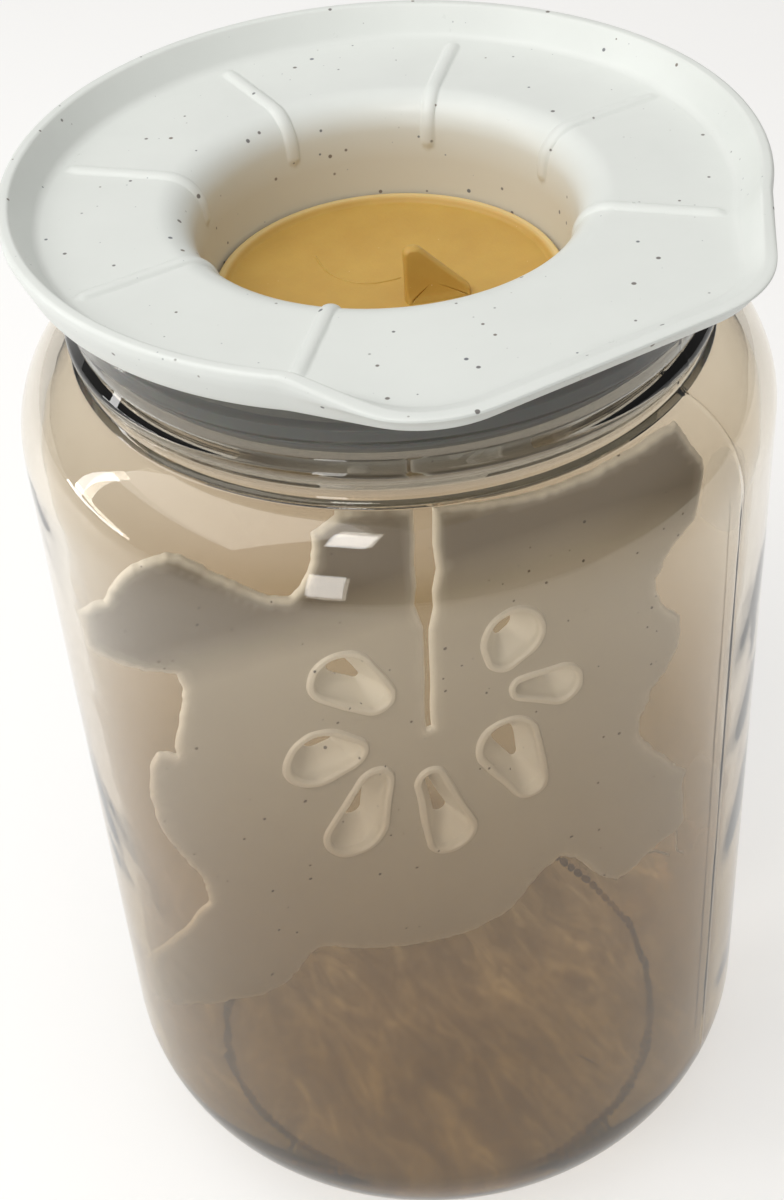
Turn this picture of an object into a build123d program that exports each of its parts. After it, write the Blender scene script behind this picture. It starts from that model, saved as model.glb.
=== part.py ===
"""Glass fermenting jar with a speckled plastic pouring lid, a pull-out well stopper and a drain plate.

Millimetres, +Z up. The origin is on the jar's axis, level with the surface that it stands on.
The straight pouring edge of the lid points to -Y.
"""

from build123d import *
import os
from math import asin, cos, radians, sin, sqrt, tan

# Glass jar
JAR_RADIUS = 65.0
JAR_HEIGHT = 204.3
JAR_WALL = 3.2
FLOOR_THICKNESS = 5.5
HEEL_RADIUS = 26.0
HEEL_THICKENING = 6.0
RESTING_RING_WIDTH = 6.0
PUSH_UP_DEPTH = 1.4
SHOULDER_RADIUS = 18.8
SHOULDER_WIDTH = 12.0
NECK_HEIGHT = 19.7
NECK_WALL = 3.2
NECK_FILLET = 1.6
LIP_PROUD = 1.5
LIP_HEIGHT = 8.5
LIP_ROUND = 2.2
BEAD_PROUD = 1.2
BEAD_HEIGHT = 3.6
BEAD_RISE = 2.6

# Lid tray and rim
SEAT_GAP = 0.3
LID_OVERHANG = 7.0
PLASTIC_WALL = 2.0
RIM_FACE = 1.8
RIM_WALL = 1.7
RIM_ROUND = 0.7
RIM_LEAN = 2.2
RIM_FOOT_ROUND = 0.8
TRAY_DEPTH = 5.2
TRAY_SLOPE_WIDTH = 3.6
SPOUT_PROUD = 1.5
SPOUT_CORNER_ANGLE = 25.2
SPOUT_CORNER = 20.0
SPOUT_ROOT_ANGLE = 45.0
SPOUT_ROOT_FILLET = 30.0
POUR_LIP_HEIGHT = 1.6
POUR_LENGTH = 24.0
POUR_LIP_WIDTH = 6.0

# Lid well and its ribs
WELL_RADIUS = 31.2
WELL_DRAFT = 1.4
WELL_DEPTH = 18.7
WELL_ROUND = 6.0
LEDGE_WIDTH = 3.2
LEDGE_THICKNESS = 1.6
RIB_POSITIONS = 8
RIB_HALF_WIDTH = 1.1
RIB_HEIGHT = 0.8
RIB_END_INSET = 8.5

# Lid plug and gasket
PLUG_GAP = 1.9
PLUG_DEPTH = 14.0
GASKET_HEIGHT = 4.4
GASKET_SEAT_GAP = 0.1
GASKET_GLASS_GAP = 0.3
GROOVE_DEPTH = 1.0
GROOVE_FOOT = 1.6
FIN_THICKNESS = 0.9

# Well stopper
STOPPER_GAP = 0.3
STOPPER_THICKNESS = 1.8
STOPPER_DISH = 1.0
STOPPER_RIM_WIDTH = 1.6
TAB_LENGTH = 11.0
TAB_HEIGHT = 8.9
TAB_THICKNESS = 1.9
TAB_ROUND = 1.1
TAB_TOP_WIDTH = 1.9
TAB_END_HEIGHT = 0.9
TAB_CENTRE_X = 4.6
TAB_CENTRE_Y = -7.5
TAB_TURN = -20.0
TAB_ROOT = 0.8

# Drain plate
PLATE_THICKNESS = 1.6
PLATE_GAP = 0.3
PLATE_OFFSET = 3.3
PLATE_TURN = -10.1
PLATE_FOOT = 25.0
PLATE_RISE = 126.0
HOLE_POSITIONS = 8
HOLE_CENTRE_X = 1.9
HOLE_CENTRE_HEIGHT = 91.8
HOLE_RING_RADIUS = 23.4
HOLE_LENGTH = 19.7
HOLE_WIDE_RADIUS = 5.6
HOLE_NARROW_RADIUS = 3.6
COLLAR_DEPTH = 4.0
COLLAR_WALL = 1.1
COLLAR_DRAFT = 2.4
SLIT_FOOT_WIDTH = 1.3
SLIT_TOP_WIDTH = 4.0
SLIT_FUNNEL_SHARE = 0.5
SLIT_LEAN = 1.8
OVERRUN = 2.0

# Places worked out from the sizes above
JAR_BORE = JAR_RADIUS - JAR_WALL
INNER_HEEL_RADIUS = HEEL_RADIUS - HEEL_THICKENING
PUSH_UP_RADIUS = JAR_RADIUS - HEEL_RADIUS - RESTING_RING_WIDTH
NECK_RADIUS = JAR_RADIUS - SHOULDER_WIDTH
MOUTH_RADIUS = NECK_RADIUS - NECK_WALL
LIP_RADIUS = NECK_RADIUS + LIP_PROUD
SHOULDER_TOP = JAR_HEIGHT - NECK_HEIGHT
TRAY_UNDER = JAR_HEIGHT + SEAT_GAP
TRAY_FLOOR = TRAY_UNDER + PLASTIC_WALL
RIM_TOP = TRAY_FLOOR + TRAY_DEPTH
LID_RADIUS = LIP_RADIUS + LID_OVERHANG
SPOUT_REACH = LID_RADIUS + SPOUT_PROUD
SPOUT_HALF_WIDTH = SPOUT_REACH * tan(radians(SPOUT_CORNER_ANGLE))
RIB_OUTER_RADIUS = LID_RADIUS - RIB_END_INSET
LEDGE_TOP = TRAY_FLOOR - WELL_DEPTH
WELL_FOOT_RADIUS = WELL_RADIUS - WELL_DRAFT
LEDGE_BORE = WELL_FOOT_RADIUS - LEDGE_WIDTH
PLUG_RADIUS = MOUTH_RADIUS - PLUG_GAP
PLUG_FOOT = JAR_HEIGHT - PLUG_DEPTH
GROOVE_RADIUS = PLUG_RADIUS - GROOVE_DEPTH
STOPPER_RADIUS = WELL_FOOT_RADIUS - STOPPER_GAP
STOPPER_FOOT = LEDGE_TOP + STOPPER_GAP
PLATE_CHORD = sqrt((JAR_BORE - PLATE_GAP) ** 2 - PLATE_OFFSET**2)

# Torn edge of the drain plate, as smooth runs that meet at sharp points. Each pair is a share of
# the half chord across the jar, from its middle, and a share of the plate's rise, from its foot.
LEFT_TEAR_SHARES = [
    [(0.01, 0.945), (-0.1, 0.965), (-0.22, 0.975), (-0.31, 0.955)],
    [(-0.31, 0.955), (-0.34, 0.89), (-0.42, 0.862), (-0.58, 0.925), (-0.71, 0.988), (-0.84, 0.995)],
    [(-0.84, 0.995), (-0.9, 0.975), (-0.935, 0.95)],
    [(-0.935, 0.95), (-0.965, 0.952), (-1.02, 0.93), (-0.99, 0.875), (-0.89, 0.82), (-0.765, 0.785)],
    [(-0.765, 0.785), (-0.755, 0.74), (-0.785, 0.685), (-0.8, 0.632)],
    [(-0.8, 0.632), (-0.87, 0.638), (-0.9, 0.56), (-0.88, 0.46), (-0.81, 0.365), (-0.785, 0.29)],
    [(-0.785, 0.29), (-0.9, 0.24), (-1.03, 0.185), (-1.04, 0.135)],
    [(-1.04, 0.135), (-1.0, 0.1), (-0.9, 0.06), (-0.76, 0.028), (-0.6, 0.027), (-0.52, 0.05)],
    [(-0.52, 0.05), (-0.43, 0.092), (-0.3, 0.062), (-0.14, 0.034), (0.01, 0.014)],
]
RIGHT_TEAR_SHARES = [
    [(0.01, 0.014), (0.15, 0.016), (0.27, 0.037), (0.35, 0.072), (0.42, 0.1), (0.475, 0.115)],
    [(0.475, 0.115), (0.55, 0.088), (0.62, 0.045), (0.688, 0.018)],
    [(0.688, 0.018), (0.75, 0.028), (0.805, 0.053)],
    [(0.805, 0.053), (0.914, 0.072), (1.0, 0.1), (1.04, 0.15), (1.0, 0.21), (0.91, 0.257), (0.8, 0.325)],
    [(0.8, 0.325), (0.785, 0.365), (0.8, 0.405), (0.89, 0.47), (0.935, 0.53), (0.925, 0.59)],
    [(0.925, 0.59), (0.87, 0.625), (0.84, 0.68)],
    [(0.84, 0.68), (0.9, 0.72), (0.99, 0.76), (1.04, 0.8), (1.0, 0.87), (0.93, 0.925), (0.87, 0.965)],
    [(0.87, 0.965), (0.82, 0.955), (0.68, 0.925), (0.52, 0.905), (0.34, 0.908), (0.17, 0.925), (0.01, 0.945)],
]


def turned(profile):
    """Full turn about the jar's axis of a face drawn in the XZ plane."""
    return revolve(Plane.XZ * profile, Axis.Z)


def jar_profile():
    """Half section of the glass: resting ring, heel, wall, shoulder arc, neck and rounded lip."""
    shoulder_radius = JAR_RADIUS - SHOULDER_RADIUS
    shoulder_rise = sqrt(SHOULDER_RADIUS**2 - (NECK_RADIUS - shoulder_radius) ** 2)
    shoulder_centre = SHOULDER_TOP - shoulder_rise
    bore_arc = SHOULDER_RADIUS - JAR_WALL
    bore_rise = sqrt(bore_arc**2 - (MOUTH_RADIUS - shoulder_radius) ** 2)
    halfway = radians(35.0)
    outer_mid = (
        shoulder_radius + SHOULDER_RADIUS * cos(halfway),
        shoulder_centre + SHOULDER_RADIUS * sin(halfway),
    )
    inner_mid = (
        shoulder_radius + bore_arc * cos(halfway),
        shoulder_centre + bore_arc * sin(halfway),
    )
    lip_foot = JAR_HEIGHT - LIP_HEIGHT
    bead_foot = SHOULDER_TOP + BEAD_RISE
    bead_top = bead_foot + BEAD_HEIGHT
    with BuildSketch() as section:
        with BuildLine():
            Polyline(
                (0, PUSH_UP_DEPTH),
                (PUSH_UP_RADIUS - PUSH_UP_DEPTH, PUSH_UP_DEPTH),
                (PUSH_UP_RADIUS, 0),
                (JAR_RADIUS, 0),
                (JAR_RADIUS, shoulder_centre),
            )
            ThreePointArc((JAR_RADIUS, shoulder_centre), outer_mid, (NECK_RADIUS, SHOULDER_TOP))
            Line((NECK_RADIUS, SHOULDER_TOP), (NECK_RADIUS, bead_foot))
            ThreePointArc(
                (NECK_RADIUS, bead_foot),
                (NECK_RADIUS + BEAD_PROUD, bead_foot + BEAD_HEIGHT / 2),
                (NECK_RADIUS, bead_top),
            )
            Polyline(
                (NECK_RADIUS, bead_top),
                (NECK_RADIUS, lip_foot),
                (LIP_RADIUS, lip_foot + LIP_PROUD),
                (LIP_RADIUS, JAR_HEIGHT),
                (MOUTH_RADIUS, JAR_HEIGHT),
                (MOUTH_RADIUS, shoulder_centre + bore_rise),
            )
            ThreePointArc(
                (MOUTH_RADIUS, shoulder_centre + bore_rise), inner_mid, (JAR_BORE, shoulder_centre)
            )
            Polyline(
                (JAR_BORE, shoulder_centre),
                (JAR_BORE, FLOOR_THICKNESS),
                (0, FLOOR_THICKNESS),
                (0, PUSH_UP_DEPTH),
            )
        make_face()
        fillet(section.vertices().filter_by(lambda v: at(v, JAR_RADIUS, 0)), HEEL_RADIUS)
        fillet(section.vertices().filter_by(lambda v: at(v, JAR_BORE, FLOOR_THICKNESS)), INNER_HEEL_RADIUS)
        fillet(section.vertices().filter_by(lambda v: at(v, NECK_RADIUS, SHOULDER_TOP)), NECK_FILLET)
        fillet(section.vertices().filter_by(lambda v: at(v, LIP_RADIUS, JAR_HEIGHT)), LIP_ROUND)
        fillet(section.vertices().filter_by(lambda v: at(v, LIP_RADIUS, lip_foot + LIP_PROUD)), LIP_PROUD)
        fillet(section.vertices().filter_by(lambda v: at(v, MOUTH_RADIUS, JAR_HEIGHT)), LIP_PROUD)
    return section.sketch


def at(vertex, x, y):
    """True for the vertex at a place of a flat sketch, within a hair of the wall's thickness."""
    return max(abs(vertex.X - x), abs(vertex.Y - y)) < JAR_WALL * 1e-3


def make_glass_jar():
    return turned(jar_profile())


def tray_outline(inset, height):
    """Outline of the lid seen from above: a circle with a straight pouring edge, drawn in by inset."""
    root_x = LID_RADIUS * sin(radians(SPOUT_ROOT_ANGLE))
    root_y = -LID_RADIUS * cos(radians(SPOUT_ROOT_ANGLE))
    spout = make_face(
        Polyline(
            (0, 0),
            (root_x, root_y),
            (SPOUT_HALF_WIDTH, -SPOUT_REACH),
            (-SPOUT_HALF_WIDTH, -SPOUT_REACH),
            (-root_x, root_y),
            (0, 0),
        )
    )
    outline = Circle(LID_RADIUS) + spout
    corners = outline.vertices().sort_by(Axis.Y)[:2]
    outline = fillet(corners, SPOUT_CORNER)
    roots = outline.vertices().filter_by(lambda v: at(v, abs(v.X), root_y))
    outline = fillet(roots, SPOUT_ROOT_FILLET)
    if inset:
        outline = offset(outline, amount=-inset)
    return Plane.XY.offset(height) * outline


def make_tray():
    """Flange of the lid: a leaning outer wall under an upright rim, hollowed to a sloping floor."""
    rim_foot = RIM_TOP - RIM_FACE
    body = loft([tray_outline(0, rim_foot).face(), tray_outline(RIM_LEAN, TRAY_UNDER).face()], ruled=True)
    body += extrude(tray_outline(0, rim_foot), RIM_FACE)
    body = fillet(body.faces().sort_by(Axis.Z)[0].edges(), RIM_FOOT_ROUND)
    body = fillet(body.faces().sort_by(Axis.Z)[-1].edges(), RIM_ROUND)
    body -= make_pour_cut()
    hollow = loft(
        [
            tray_outline(RIM_WALL, RIM_TOP).face(),
            tray_outline(RIM_WALL + TRAY_SLOPE_WIDTH, TRAY_FLOOR).face(),
        ],
        ruled=True,
    )
    return body - hollow


def make_pour_cut():
    """What is taken off the rim above the pouring edge, down a smooth curve seen from the side."""
    far = 2 * LID_RADIUS
    low = TRAY_FLOOR + POUR_LIP_HEIGHT
    start = RIM_TOP + RIM_ROUND
    high = start + TRAY_DEPTH
    pour_start = SPOUT_REACH - POUR_LENGTH
    pour_end = SPOUT_REACH - POUR_LIP_WIDTH
    with BuildSketch(Plane.YZ.offset(-far)) as side:
        with BuildLine():
            Spline((-pour_start, start), (-pour_end, low), tangents=[(-1, 0), (-1, 0)])
            Polyline((-pour_end, low), (-far, low), (-far, high), (-pour_start, high), (-pour_start, start))
        make_face()
    return extrude(side.sketch, 2 * far)


def well_profile():
    """Half section of the well: rounded mouth, drafted wall and the ledge that the stopper rests on."""
    mouth = WELL_RADIUS + WELL_ROUND
    outer = WELL_RADIUS + PLASTIC_WALL
    lap = mouth + PLASTIC_WALL
    turn = radians(45.0)
    with BuildSketch() as section:
        with BuildLine():
            Line((lap, TRAY_FLOOR), (mouth, TRAY_FLOOR))
            ThreePointArc(
                (mouth, TRAY_FLOOR),
                (mouth - WELL_ROUND * sin(turn), TRAY_FLOOR - WELL_ROUND * (1 - cos(turn))),
                (WELL_RADIUS, TRAY_FLOOR - WELL_ROUND),
            )
            Polyline(
                (WELL_RADIUS, TRAY_FLOOR - WELL_ROUND),
                (WELL_FOOT_RADIUS, LEDGE_TOP),
                (LEDGE_BORE, LEDGE_TOP),
                (LEDGE_BORE, LEDGE_TOP - LEDGE_THICKNESS),
                (WELL_FOOT_RADIUS + PLASTIC_WALL, LEDGE_TOP - LEDGE_THICKNESS),
                (outer, TRAY_FLOOR - WELL_ROUND),
            )
            ThreePointArc(
                (outer, TRAY_FLOOR - WELL_ROUND),
                (
                    mouth - (WELL_ROUND - PLASTIC_WALL) * sin(turn),
                    TRAY_FLOOR - WELL_ROUND + (WELL_ROUND - PLASTIC_WALL) * cos(turn),
                ),
                (mouth, TRAY_UNDER),
            )
            Polyline((mouth, TRAY_UNDER), (lap, TRAY_UNDER), (lap, TRAY_FLOOR))
        make_face()
    return section.sketch


def make_ribs():
    """Round ridges from near the rim over the well's mouth, one at each position but the spout's."""
    mouth = WELL_RADIUS + WELL_ROUND
    lift = RIB_HEIGHT - RIB_HALF_WIDTH
    turn = radians(35.0)
    arc = WELL_ROUND + lift
    arc_end = (mouth - arc * sin(2 * turn), TRAY_FLOOR - WELL_ROUND + arc * cos(2 * turn))
    path = Line((RIB_OUTER_RADIUS, TRAY_FLOOR + lift), (mouth, TRAY_FLOOR + lift)) + ThreePointArc(
        (mouth, TRAY_FLOOR + lift),
        (mouth - arc * sin(turn), TRAY_FLOOR - WELL_ROUND + arc * cos(turn)),
        arc_end,
    )
    path = Plane.XZ * path
    start = Plane(origin=(RIB_OUTER_RADIUS, 0, TRAY_FLOOR + lift), z_dir=(-1, 0, 0))
    rib = sweep(start * Circle(RIB_HALF_WIDTH), path=path)
    rib += Pos(RIB_OUTER_RADIUS, 0, TRAY_FLOOR + lift) * Sphere(RIB_HALF_WIDTH)
    rib += Pos(arc_end[0], 0, arc_end[1]) * Sphere(RIB_HALF_WIDTH)
    step = 360 / RIB_POSITIONS
    spout_angle = 270
    angles = [step * place for place in range(RIB_POSITIONS) if step * place != spout_angle]
    return [Rot(0, 0, angle) * rib for angle in angles]


def plug_profile():
    """Half section of the plug wall inside the mouth, with the gasket's groove near its foot."""
    groove_foot = PLUG_FOOT + GROOVE_FOOT
    groove_top = groove_foot + GASKET_HEIGHT
    return make_face(
        Polyline(
            (PLUG_RADIUS, TRAY_UNDER + PLASTIC_WALL / 2),
            (PLUG_RADIUS, groove_top),
            (GROOVE_RADIUS, groove_top),
            (GROOVE_RADIUS, groove_foot),
            (PLUG_RADIUS, groove_foot),
            (PLUG_RADIUS, PLUG_FOOT),
            (GROOVE_RADIUS - PLASTIC_WALL, PLUG_FOOT),
            (GROOVE_RADIUS - PLASTIC_WALL, TRAY_UNDER + PLASTIC_WALL / 2),
            (PLUG_RADIUS, TRAY_UNDER + PLASTIC_WALL / 2),
        )
    )


def make_lid():
    lid = make_tray()
    lid -= Pos(0, 0, TRAY_FLOOR) * Cylinder(WELL_RADIUS + WELL_ROUND, 2 * (PLASTIC_WALL + OVERRUN))
    lid += turned(well_profile())
    lid += turned(plug_profile())
    for rib in make_ribs():
        lid += rib
    return lid


def make_lid_gasket():
    """Silicone ring in the plug's groove, with two sealing fins that reach towards the glass."""
    foot = PLUG_FOOT + GROOVE_FOOT + GASKET_SEAT_GAP
    top = foot + GASKET_HEIGHT - 2 * GASKET_SEAT_GAP
    inner = GROOVE_RADIUS + GASKET_SEAT_GAP
    body = PLUG_RADIUS
    tip = MOUTH_RADIUS - GASKET_GLASS_GAP
    return turned(
        make_face(
            Polyline(
                (inner, foot),
                (body, foot),
                (tip, foot + FIN_THICKNESS / 2),
                (tip, foot + FIN_THICKNESS),
                (body, foot + FIN_THICKNESS),
                (body, top - FIN_THICKNESS),
                (tip, top - FIN_THICKNESS / 2),
                (tip, top),
                (inner, top),
                (inner, foot),
            )
        )
    )


def make_well_stopper():
    """Dished disc with a flat fin to pull it out by, which slopes down on one side."""
    top = STOPPER_FOOT + STOPPER_THICKNESS
    dish = STOPPER_RADIUS - STOPPER_RIM_WIDTH
    disc = turned(
        make_face(
            Polyline(
                (0, STOPPER_FOOT),
                (STOPPER_RADIUS, STOPPER_FOOT),
                (STOPPER_RADIUS, top),
                (dish, top),
                (dish - STOPPER_DISH, top - STOPPER_DISH),
                (0, top - STOPPER_DISH),
                (0, STOPPER_FOOT),
            )
        )
    )
    half = TAB_LENGTH / 2
    root = top - STOPPER_DISH - TAB_ROOT / 2
    with BuildSketch(Plane.XZ) as fin:
        with BuildLine():
            Polyline(
                (-half, root),
                (half, root),
                (half, root + TAB_ROOT + TAB_END_HEIGHT),
                (TAB_TOP_WIDTH - half, top + TAB_HEIGHT),
                (-half, top + TAB_HEIGHT),
                (-half, root),
            )
        make_face()
        fillet(fin.vertices().filter_by(lambda v: v.Z > root + TAB_ROOT), TAB_ROUND)
    tab = extrude(fin.sketch, TAB_THICKNESS / 2, both=True)
    return disc + Pos(TAB_CENTRE_X, TAB_CENTRE_Y, 0) * Rot(0, 0, TAB_TURN) * tab


def plate_point(shares):
    """Place on the plate's own plane of a pair of shares of the chord and the rise."""
    across, up = shares
    return (across * PLATE_CHORD, PLATE_FOOT + up * PLATE_RISE)


def teardrop(wide, narrow, length):
    """Round-ended drop along +Y with its wide end outwards, centred on its own length."""
    reach = length - wide - narrow
    lean = asin((wide - narrow) / reach)
    middle = (wide - narrow) / 2
    wide_y = middle + reach / 2 - (wide - narrow)
    narrow_y = wide_y - reach
    wide_tangent = (wide * cos(lean), wide_y - wide * sin(lean))
    narrow_tangent = (narrow * cos(lean), narrow_y - narrow * sin(lean))
    with BuildSketch() as drop:
        with BuildLine():
            Line(narrow_tangent, wide_tangent)
            ThreePointArc(wide_tangent, (0, wide_y + wide), (-wide_tangent[0], wide_tangent[1]))
            Line((-wide_tangent[0], wide_tangent[1]), (-narrow_tangent[0], narrow_tangent[1]))
            ThreePointArc(
                (-narrow_tangent[0], narrow_tangent[1]), (0, narrow_y - narrow), narrow_tangent
            )
        make_face()
    return drop.sketch


def drop_at(depth, grow):
    """Section of a hole's collar at a depth behind the plate's front, grown on every side."""
    draft = COLLAR_DRAFT * depth / (PLATE_THICKNESS + COLLAR_DEPTH)
    drop = teardrop(
        HOLE_WIDE_RADIUS + grow - draft,
        HOLE_NARROW_RADIUS + grow - draft,
        HOLE_LENGTH + 2 * grow - 2 * draft,
    )
    return (Plane.XY.offset(PLATE_THICKNESS - depth) * drop).face()


def make_drain_plate():
    """Torn flat plate stood across the jar, with drop-shaped holes in collars round one centre."""
    turn = radians(PLATE_TURN)
    facing = (sin(turn), -cos(turn), 0)
    plane = Plane(
        origin=(PLATE_OFFSET * facing[0], PLATE_OFFSET * facing[1], 0),
        x_dir=(cos(turn), sin(turn), 0),
        z_dir=facing,
    )
    with BuildSketch() as tear:
        with BuildLine():
            for run in LEFT_TEAR_SHARES + RIGHT_TEAR_SHARES:
                Spline(*[plate_point(shares) for shares in run])
        make_face()
    plate = extrude(tear.sketch, PLATE_THICKNESS)
    whole_depth = PLATE_THICKNESS + COLLAR_DEPTH
    collar = loft([drop_at(0, COLLAR_WALL), drop_at(whole_depth, COLLAR_WALL)], ruled=True)
    bore = loft([drop_at(-COLLAR_WALL, 0), drop_at(whole_depth + COLLAR_WALL, 0)], ruled=True)
    step = 360 / HOLE_POSITIONS
    for place in range(1, HOLE_POSITIONS):
        seat = (
            Pos(HOLE_CENTRE_X, HOLE_CENTRE_HEIGHT, 0)
            * Rot(0, 0, step * place)
            * Pos(0, HOLE_RING_RADIUS, 0)
        )
        plate += seat * collar
        plate -= seat * bore
    plate -= extrude(slit_outline(), amount=whole_depth, both=True)
    plate = plane * plate
    room = Cylinder(JAR_BORE - PLATE_GAP, JAR_HEIGHT, align=(Align.CENTER, Align.CENTER, Align.MIN))
    return plate & room


def slit_outline():
    """Slit from the torn top edge to the holes' centre, wider in its upper part and a little aslant."""
    top = PLATE_FOOT + PLATE_RISE
    funnel = HOLE_CENTRE_HEIGHT + SLIT_FUNNEL_SHARE * (top - HOLE_CENTRE_HEIGHT)
    narrow = SLIT_FOOT_WIDTH / 2
    wide = SLIT_TOP_WIDTH / 2
    steps = [(HOLE_CENTRE_HEIGHT, narrow), (funnel - SLIT_TOP_WIDTH, narrow), (funnel, wide), (top, wide)]
    middles = [
        HOLE_CENTRE_X - SLIT_LEAN * (top - height) / (top - HOLE_CENTRE_HEIGHT) for height, _ in steps
    ]
    right = [(middle + half, height) for middle, (height, half) in zip(middles, steps)]
    left = [(middle - half, height) for middle, (height, half) in zip(middles, steps)]
    slit = make_face(Polyline(*right, *left[::-1], right[0]))
    return slit + Pos(middles[0], HOLE_CENTRE_HEIGHT) * Circle(narrow)


MAKERS = {
    "glass_jar": make_glass_jar,
    "lid": make_lid,
    "lid_gasket": make_lid_gasket,
    "well_stopper": make_well_stopper,
    "drain_plate": make_drain_plate,
}

os.makedirs("parts", exist_ok=True)
for node, make in MAKERS.items():
    export_step(make(), f"parts/{node}.step")
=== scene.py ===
"""Glass fermenting jar with a speckled pouring lid, a well stopper and a torn drain plate.

Blender pieces over the jar's CAD frame, in metres, +Z up, with the lid's pouring edge towards -Y. The
shape functions work in millimetres, as numpy arrays, and put_surface() brings them to metres.
"""

import bmesh
import bpy
import math
import numpy as np
from mathutils import Matrix, Vector
from mathutils.geometry import delaunay_2d_cdt


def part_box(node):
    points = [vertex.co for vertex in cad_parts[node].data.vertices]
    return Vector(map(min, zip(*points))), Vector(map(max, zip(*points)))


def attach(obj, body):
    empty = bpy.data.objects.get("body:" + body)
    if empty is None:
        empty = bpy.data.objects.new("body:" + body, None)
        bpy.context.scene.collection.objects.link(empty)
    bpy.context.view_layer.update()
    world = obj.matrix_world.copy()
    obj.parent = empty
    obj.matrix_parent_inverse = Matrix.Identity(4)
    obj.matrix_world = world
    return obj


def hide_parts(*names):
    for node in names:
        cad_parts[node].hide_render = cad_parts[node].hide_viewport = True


bl_info = {
    "name": "Fermenting Jar",
    "version": (1, 0, 0),
    "blender": (4, 5, 0),
    "location": "View3D > Sidebar > Fermenting Jar",
    "description": "Builds a glass fermenting jar with its lid, stopper and drain plate",
    "category": "Add Mesh",
}

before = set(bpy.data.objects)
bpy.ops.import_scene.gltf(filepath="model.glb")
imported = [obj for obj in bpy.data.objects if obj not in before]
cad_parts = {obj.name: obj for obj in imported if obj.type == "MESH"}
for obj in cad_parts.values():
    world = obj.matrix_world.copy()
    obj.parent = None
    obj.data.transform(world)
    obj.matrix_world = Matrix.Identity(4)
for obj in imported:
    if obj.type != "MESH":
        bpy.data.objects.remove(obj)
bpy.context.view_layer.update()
MM = 0.001


def millimetres(size):
    """A length in metres as millimetres, to the nearest thousandth."""
    return round(size / MM, 3)


def round_sizes(node):
    """Radius, foot and top of a round piece of the frame, to the nearest thousandth of a millimetre."""
    low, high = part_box(node)
    return round(high.x, 6), round(low.z, 6), round(high.z, 6)


JAR_TOP = round_sizes("glass_jar")[2]
LID_FOOT, LID_TOP = round_sizes("lid")[1:]
GASKET_RADIUS, GASKET_FOOT, GASKET_TOP = round_sizes("lid_gasket")
STOPPER_RADIUS, STOPPER_FOOT = round_sizes("well_stopper")[:2]

LAMPS_LOOK_AT = Vector((0, 0, 0.15))

# Torn edge of the drain plate, as smooth runs that meet at sharp points. Each pair is a share of
# the half chord across the jar, from its middle, and a share of the plate's rise, from its foot.
TORN_RUNS = [
    [(0.01, 0.945), (-0.1, 0.965), (-0.22, 0.975), (-0.31, 0.955)],
    [(-0.31, 0.955), (-0.34, 0.89), (-0.42, 0.862), (-0.58, 0.925), (-0.71, 0.988), (-0.84, 0.995)],
    [(-0.84, 0.995), (-0.9, 0.975), (-0.935, 0.95)],
    [(-0.935, 0.95), (-0.965, 0.952), (-1.02, 0.93), (-0.99, 0.875), (-0.89, 0.82), (-0.765, 0.785)],
    [(-0.765, 0.785), (-0.755, 0.74), (-0.785, 0.685), (-0.8, 0.632)],
    [(-0.8, 0.632), (-0.87, 0.638), (-0.9, 0.56), (-0.88, 0.46), (-0.81, 0.365), (-0.785, 0.29)],
    [(-0.785, 0.29), (-0.9, 0.24), (-1.03, 0.185), (-1.04, 0.135)],
    [(-1.04, 0.135), (-1.0, 0.1), (-0.9, 0.06), (-0.76, 0.028), (-0.6, 0.027), (-0.52, 0.05)],
    [(-0.52, 0.05), (-0.43, 0.092), (-0.3, 0.062), (-0.14, 0.034), (0.01, 0.014)],
    [(0.01, 0.014), (0.15, 0.016), (0.27, 0.037), (0.35, 0.072), (0.42, 0.1), (0.475, 0.115)],
    [(0.475, 0.115), (0.55, 0.088), (0.62, 0.045), (0.688, 0.018)],
    [(0.688, 0.018), (0.75, 0.028), (0.805, 0.053)],
    [(0.805, 0.053), (0.914, 0.072), (1.0, 0.1), (1.04, 0.15), (1.0, 0.21), (0.91, 0.257), (0.8, 0.325)],
    [(0.8, 0.325), (0.785, 0.365), (0.8, 0.405), (0.89, 0.47), (0.935, 0.53), (0.925, 0.59)],
    [(0.925, 0.59), (0.87, 0.625), (0.84, 0.68)],
    [(0.84, 0.68), (0.9, 0.72), (0.99, 0.76), (1.04, 0.8), (1.0, 0.87), (0.93, 0.925), (0.87, 0.965)],
    [(0.87, 0.965), (0.82, 0.955), (0.68, 0.925), (0.52, 0.905), (0.34, 0.908), (0.17, 0.925), (0.01, 0.945)],
]

# The seven drop-shaped holes with their raised lips: place across and up from the middle of their ring,
# length and width, as shares of the ring's radius, and the direction of the wide end in degrees.
HOLES = [
    (-0.70, 0.71, 0.92, 0.58, 129),
    (-0.98, 0.03, 0.75, 0.60, 165),
    (-0.70, -0.74, 0.98, 0.60, 249),
    (0.00, -1.04, 1.13, 0.48, 284),
    (0.71, -0.72, 1.09, 0.62, 110),
    (1.01, 0.03, 0.74, 0.46, -12),
    (0.70, 0.66, 0.70, 0.62, 66),
]

# Threads of plastic that hang from the torn edge, in millimetres across and up the plate.
THREADS = [
    [(57.6, 39.0), (58.9, 35.0), (59.6, 31.0), (59.9, 27.6)],
    [(48.2, 33.6), (51.4, 31.6), (54.6, 29.9), (57.2, 27.6)],
]


def length(name, description, default):
    """A size in metres that shows with its unit in the sidebar."""
    return bpy.props.FloatProperty(
        name=name, description=description, default=default, min=0.0, unit="LENGTH", precision=4
    )


def share(name, description, default):
    """A plain number between nought and one."""
    return bpy.props.FloatProperty(name=name, description=description, default=default, min=0.0, max=1.0)


def angle(name, description, degrees):
    """An angle that is given in degrees and shows with its unit in the sidebar."""
    return bpy.props.FloatProperty(
        name=name, description=description, default=math.radians(degrees), subtype="ANGLE", unit="ROTATION"
    )


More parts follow.
